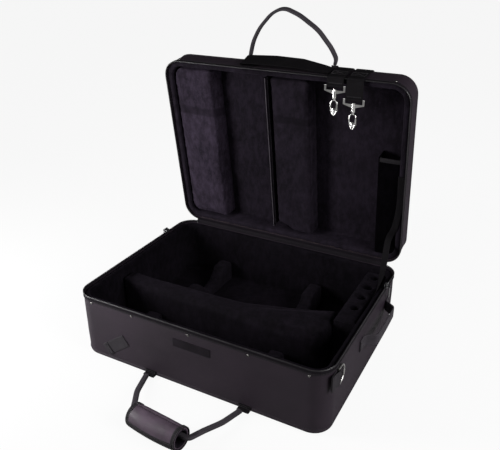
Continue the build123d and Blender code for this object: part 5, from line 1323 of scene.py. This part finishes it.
def stay_strap():
    """Slack webbing from the lid to the base's right wall."""
    # On the lid: x, distance from the hinge axis, depth. In the base: x, y, z and the webbing's turn in degrees.
    on_lid = np.array([(270.8, 219, 7.2), (270.8, 150, 7.2), (264, 97, 6.4), (251, 56, 6.0)])
    in_base = np.array([(257, 165, 158, 25), (262.5, 120, 138, 65), (264.4, 62, 127, 90), (264.4, 40, 114, 90)], float)
    upper = in_lid(stack(on_lid[:, 0], HINGE_Y - on_lid[:, 1], on_lid[:, 2]))
    turn = np.radians(in_base[:, 3])
    spine = np.concatenate([upper, in_base[:, :3]])
    across = np.concatenate([np.tile([1.0, 0, 0], (4, 1)), stack(np.cos(turn), 0.0, np.sin(turn))])
    both = through(np.hstack([spine, across * 30]), 3.0)
    shape = strap(Shape(), both[:, :3], both[:, 3:], 14.0, 1.5)
    piece = shape.make("lid_stay_strap", None, "shaded_webbing", ("lid_stay",), "webbing")
    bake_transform(piece)


# ---- Looks of the carried-over parts, stage --------------------------------------------------
NODE_LOOKS = {
    "board": ("base_bottom_board", "base_wall_frame", "lid_top_board", "lid_wall_frame"),
    "steel": ("d_ring_left", "d_ring_right"),
    "rivet": ("base_rivets", "lid_rivets", "zip_end_stops"),
    "slider": ("zip_slider_left", "zip_slider_right", "zip_pull_left", "zip_pull_right", "strap_adjuster"),
    "badge": ("badge_plate",),
    "chrome": tuple(f"hook_{part}_{number}" for part in ("frame", "gate") for number in (1, 2)),
}


CAMERA_RIGHT = (0.88061595, 0.47381718, -0.00358201)
CAMERA_UP = (-0.20159322, 0.38149231, 0.90212183)
CAMERA_SPOT, CAMERA_LENS = (0.544752, -0.972915, 0.806593), 43.50
FLOOR_REACH, FLOOR_Z = 30000.0, -0.4
WORLD_NODES = ("LightPath", "Background", "MapRange", "OutputWorld")
WORLD_LIGHT = 0.075
LIGHTS = (  # name, place and aim in metres, size, watts
    ("left_softbox", (-0.80, -0.62, 0.42), (-0.32, -0.2, 0.1), (0.35, 0.5), 20.0),
    ("top_softbox", (-0.3, -1.1, 2.0), (0.0, 0.1, 0.3), (1.4, 1.0), 8.5),
    ("right_softbox", (1.7, -0.2, 1.0), (0.1, 0.0, 0.15), (1.0, 1.0), 44.0),
)


def place_in_scene(obj, right, up, spot):
    """Links an object, with its own x and y axes and its place in metres."""
    bpy.context.scene.collection.objects.link(obj)
    matrix = np.eye(4)
    matrix[:3] = np.stack([right, up, np.cross(right, up), spot], -1)
    obj.matrix_world = Matrix(matrix.tolist())


def stage_pieces():
    """Paper floor as one flat grid whose cells widen outwards, soft lights, and the camera of the photograph."""
    x = np.linspace(-1, 1, 41)
    reach = FLOOR_REACH * np.sign(x) * np.abs(x) ** 1.6
    Shape().grid(stack(reach[:, None], reach, FLOOR_Z), reach, reach).make("paper_floor", None, "floor")

    for name, spot, aim, size, power in LIGHTS:
        lamp = bpy.data.lights.new(name, "AREA")
        lamp.shape, lamp.size, lamp.size_y, lamp.energy = "RECTANGLE", size[0], size[1], power
        back = np.subtract(spot, aim)
        back /= np.linalg.norm(back)
        right = np.cross((0, 0, 1.0), back)
        right /= np.linalg.norm(right)
        place_in_scene(bpy.data.objects.new(name, lamp), right, np.cross(back, right), spot)

    scene = bpy.context.scene
    scene.world = bpy.data.worlds.new("studio")
    scene.world.use_nodes = True
    tree = scene.world.node_tree
    tree.nodes.clear()
    path, shade, bright, out = (tree.nodes.new(f"ShaderNode{kind}") for kind in WORLD_NODES)
    shade.inputs["Color"].default_value = (1.0, 1.0, 1.0, 1.0)
    bright.inputs["To Min"].default_value = WORLD_LIGHT
    bright.inputs["To Max"].default_value = 1.0
    tree.links.new(path.outputs["Is Camera Ray"], bright.inputs["Value"])
    tree.links.new(bright.outputs[0], shade.inputs["Strength"])
    tree.links.new(shade.outputs[0], out.inputs["Surface"])

    lens = bpy.data.cameras.new("photo_camera")
    lens.sensor_fit, lens.sensor_width, lens.lens = "HORIZONTAL", 36.0, CAMERA_LENS
    lens.clip_end = 100.0
    camera = bpy.data.objects.new("photo_camera", lens)
    place_in_scene(camera, CAMERA_RIGHT, CAMERA_UP, CAMERA_SPOT)
    scene.camera = camera
    scene.view_settings.view_transform = "Standard"


# ---- Operators -------------------------------------------------------------------------------
def covers():
    """Nylon covers of both halves, with their seams."""
    for half in HALVES:
        cover_shell(half)
        seam_rows(half)


def linings():
    """Plush linings of both halves."""
    for half in HALVES:
        lining_shell(half)


def zip_and_hinge():
    """Zip of both halves, and the hinge tape."""
    for half in HALVES:
        zip_pieces(half)
    hinge_pieces()


def hardware():
    """Materials of the parts carried over from the CAD model."""
    for look, names in NODE_LOOKS.items():
        for name in names:
            dress(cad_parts[name], material(look))


class Step:
    """What every step's operator does: it calls the functions that make its pieces."""

    calls = ()

    def execute(self, context):
        for call in self.calls:
            call()
        return {"FINISHED"}


class CASE_OT_covers(Step, bpy.types.Operator):
    """Nylon covers of the base and the lid, with their seams"""

    bl_idname = "case.covers"
    bl_label = "Covers"
    calls = (covers,)


class CASE_OT_linings(Step, bpy.types.Operator):
    """Plush linings of both halves"""

    bl_idname = "case.linings"
    bl_label = "Linings"
    calls = (linings,)


class CASE_OT_zip(Step, bpy.types.Operator):
    """Zip tape and teeth of both halves, and the hinge tape"""

    bl_idname = "case.zip"
    bl_label = "Zip and hinge"
    calls = (zip_and_hinge,)


class CASE_OT_base_pads(Step, bpy.types.Operator):
    """Divider, saddles and mouthpiece holder in the base"""

    bl_idname = "case.base_pads"
    bl_label = "Base pads"
    calls = (base_pads, mouthpiece_pad)


class CASE_OT_lid_pads(Step, bpy.types.Operator):
    """Pads, divider and pocket in the lid"""

    bl_idname = "case.lid_pads"
    bl_label = "Lid pads"
    calls = (lid_pads, lid_divider_pieces, pocket_pieces)


class CASE_OT_webbing(Step, bpy.types.Operator):
    """Handles, tabs, shoulder strap and lid stay"""

    bl_idname = "case.webbing"
    bl_label = "Webbing"
    calls = (side_handle, front_tab, ring_tabs, lid_handle, base_handle, shoulder_strap, snap_hooks, stay_strap)


class CASE_OT_grip(Step, bpy.types.Operator):
    """Padded grip of the base handle"""

    bl_idname = "case.grip"
    bl_label = "Grip"
    calls = (grip_pieces,)


class CASE_OT_hardware(Step, bpy.types.Operator):
    """Materials of the parts carried over from the CAD model"""

    bl_idname = "case.hardware"
    bl_label = "Hardware"
    calls = (hardware,)


class CASE_OT_stage(Step, bpy.types.Operator):
    """Floor, lights and camera"""

    bl_idname = "case.stage"
    bl_label = "Stage"
    calls = (stage_pieces,)


class CASE_PT_sidebar(bpy.types.Panel):
    """Case builder in the sidebar"""

    bl_label = "Open case"
    bl_idname = "CASE_PT_sidebar"
    bl_space_type = "VIEW_3D"
    bl_region_type = "UI"
    bl_category = "Case"

    def draw(self, context):
        for key in CaseLooks.__annotations__:
            self.layout.prop(context.scene.case_looks, key)
        for step in STEPS:
            self.layout.operator(step.bl_idname)


STEPS = (
    CASE_OT_covers, CASE_OT_linings, CASE_OT_zip, CASE_OT_base_pads, CASE_OT_lid_pads, CASE_OT_webbing,
    CASE_OT_grip, CASE_OT_hardware, CASE_OT_stage,
)


def register():
    for kind in (CaseLooks, *STEPS, CASE_PT_sidebar):
        bpy.utils.register_class(kind)
    bpy.types.Scene.case_looks = bpy.props.PointerProperty(type=CaseLooks)


def unregister():
    del bpy.types.Scene.case_looks
    for kind in (CASE_PT_sidebar, *reversed(STEPS), CaseLooks):
        bpy.utils.unregister_class(kind)


def main():
    """Builds every piece in order."""
    register()
    for step in STEPS:
        group, call = step.bl_idname.split(".")
        if getattr(getattr(bpy.ops, group), call)() != {"FINISHED"}:
            raise RuntimeError(f"{step.bl_idname} did not finish")
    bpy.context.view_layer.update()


if __name__ == "__main__":
    main()
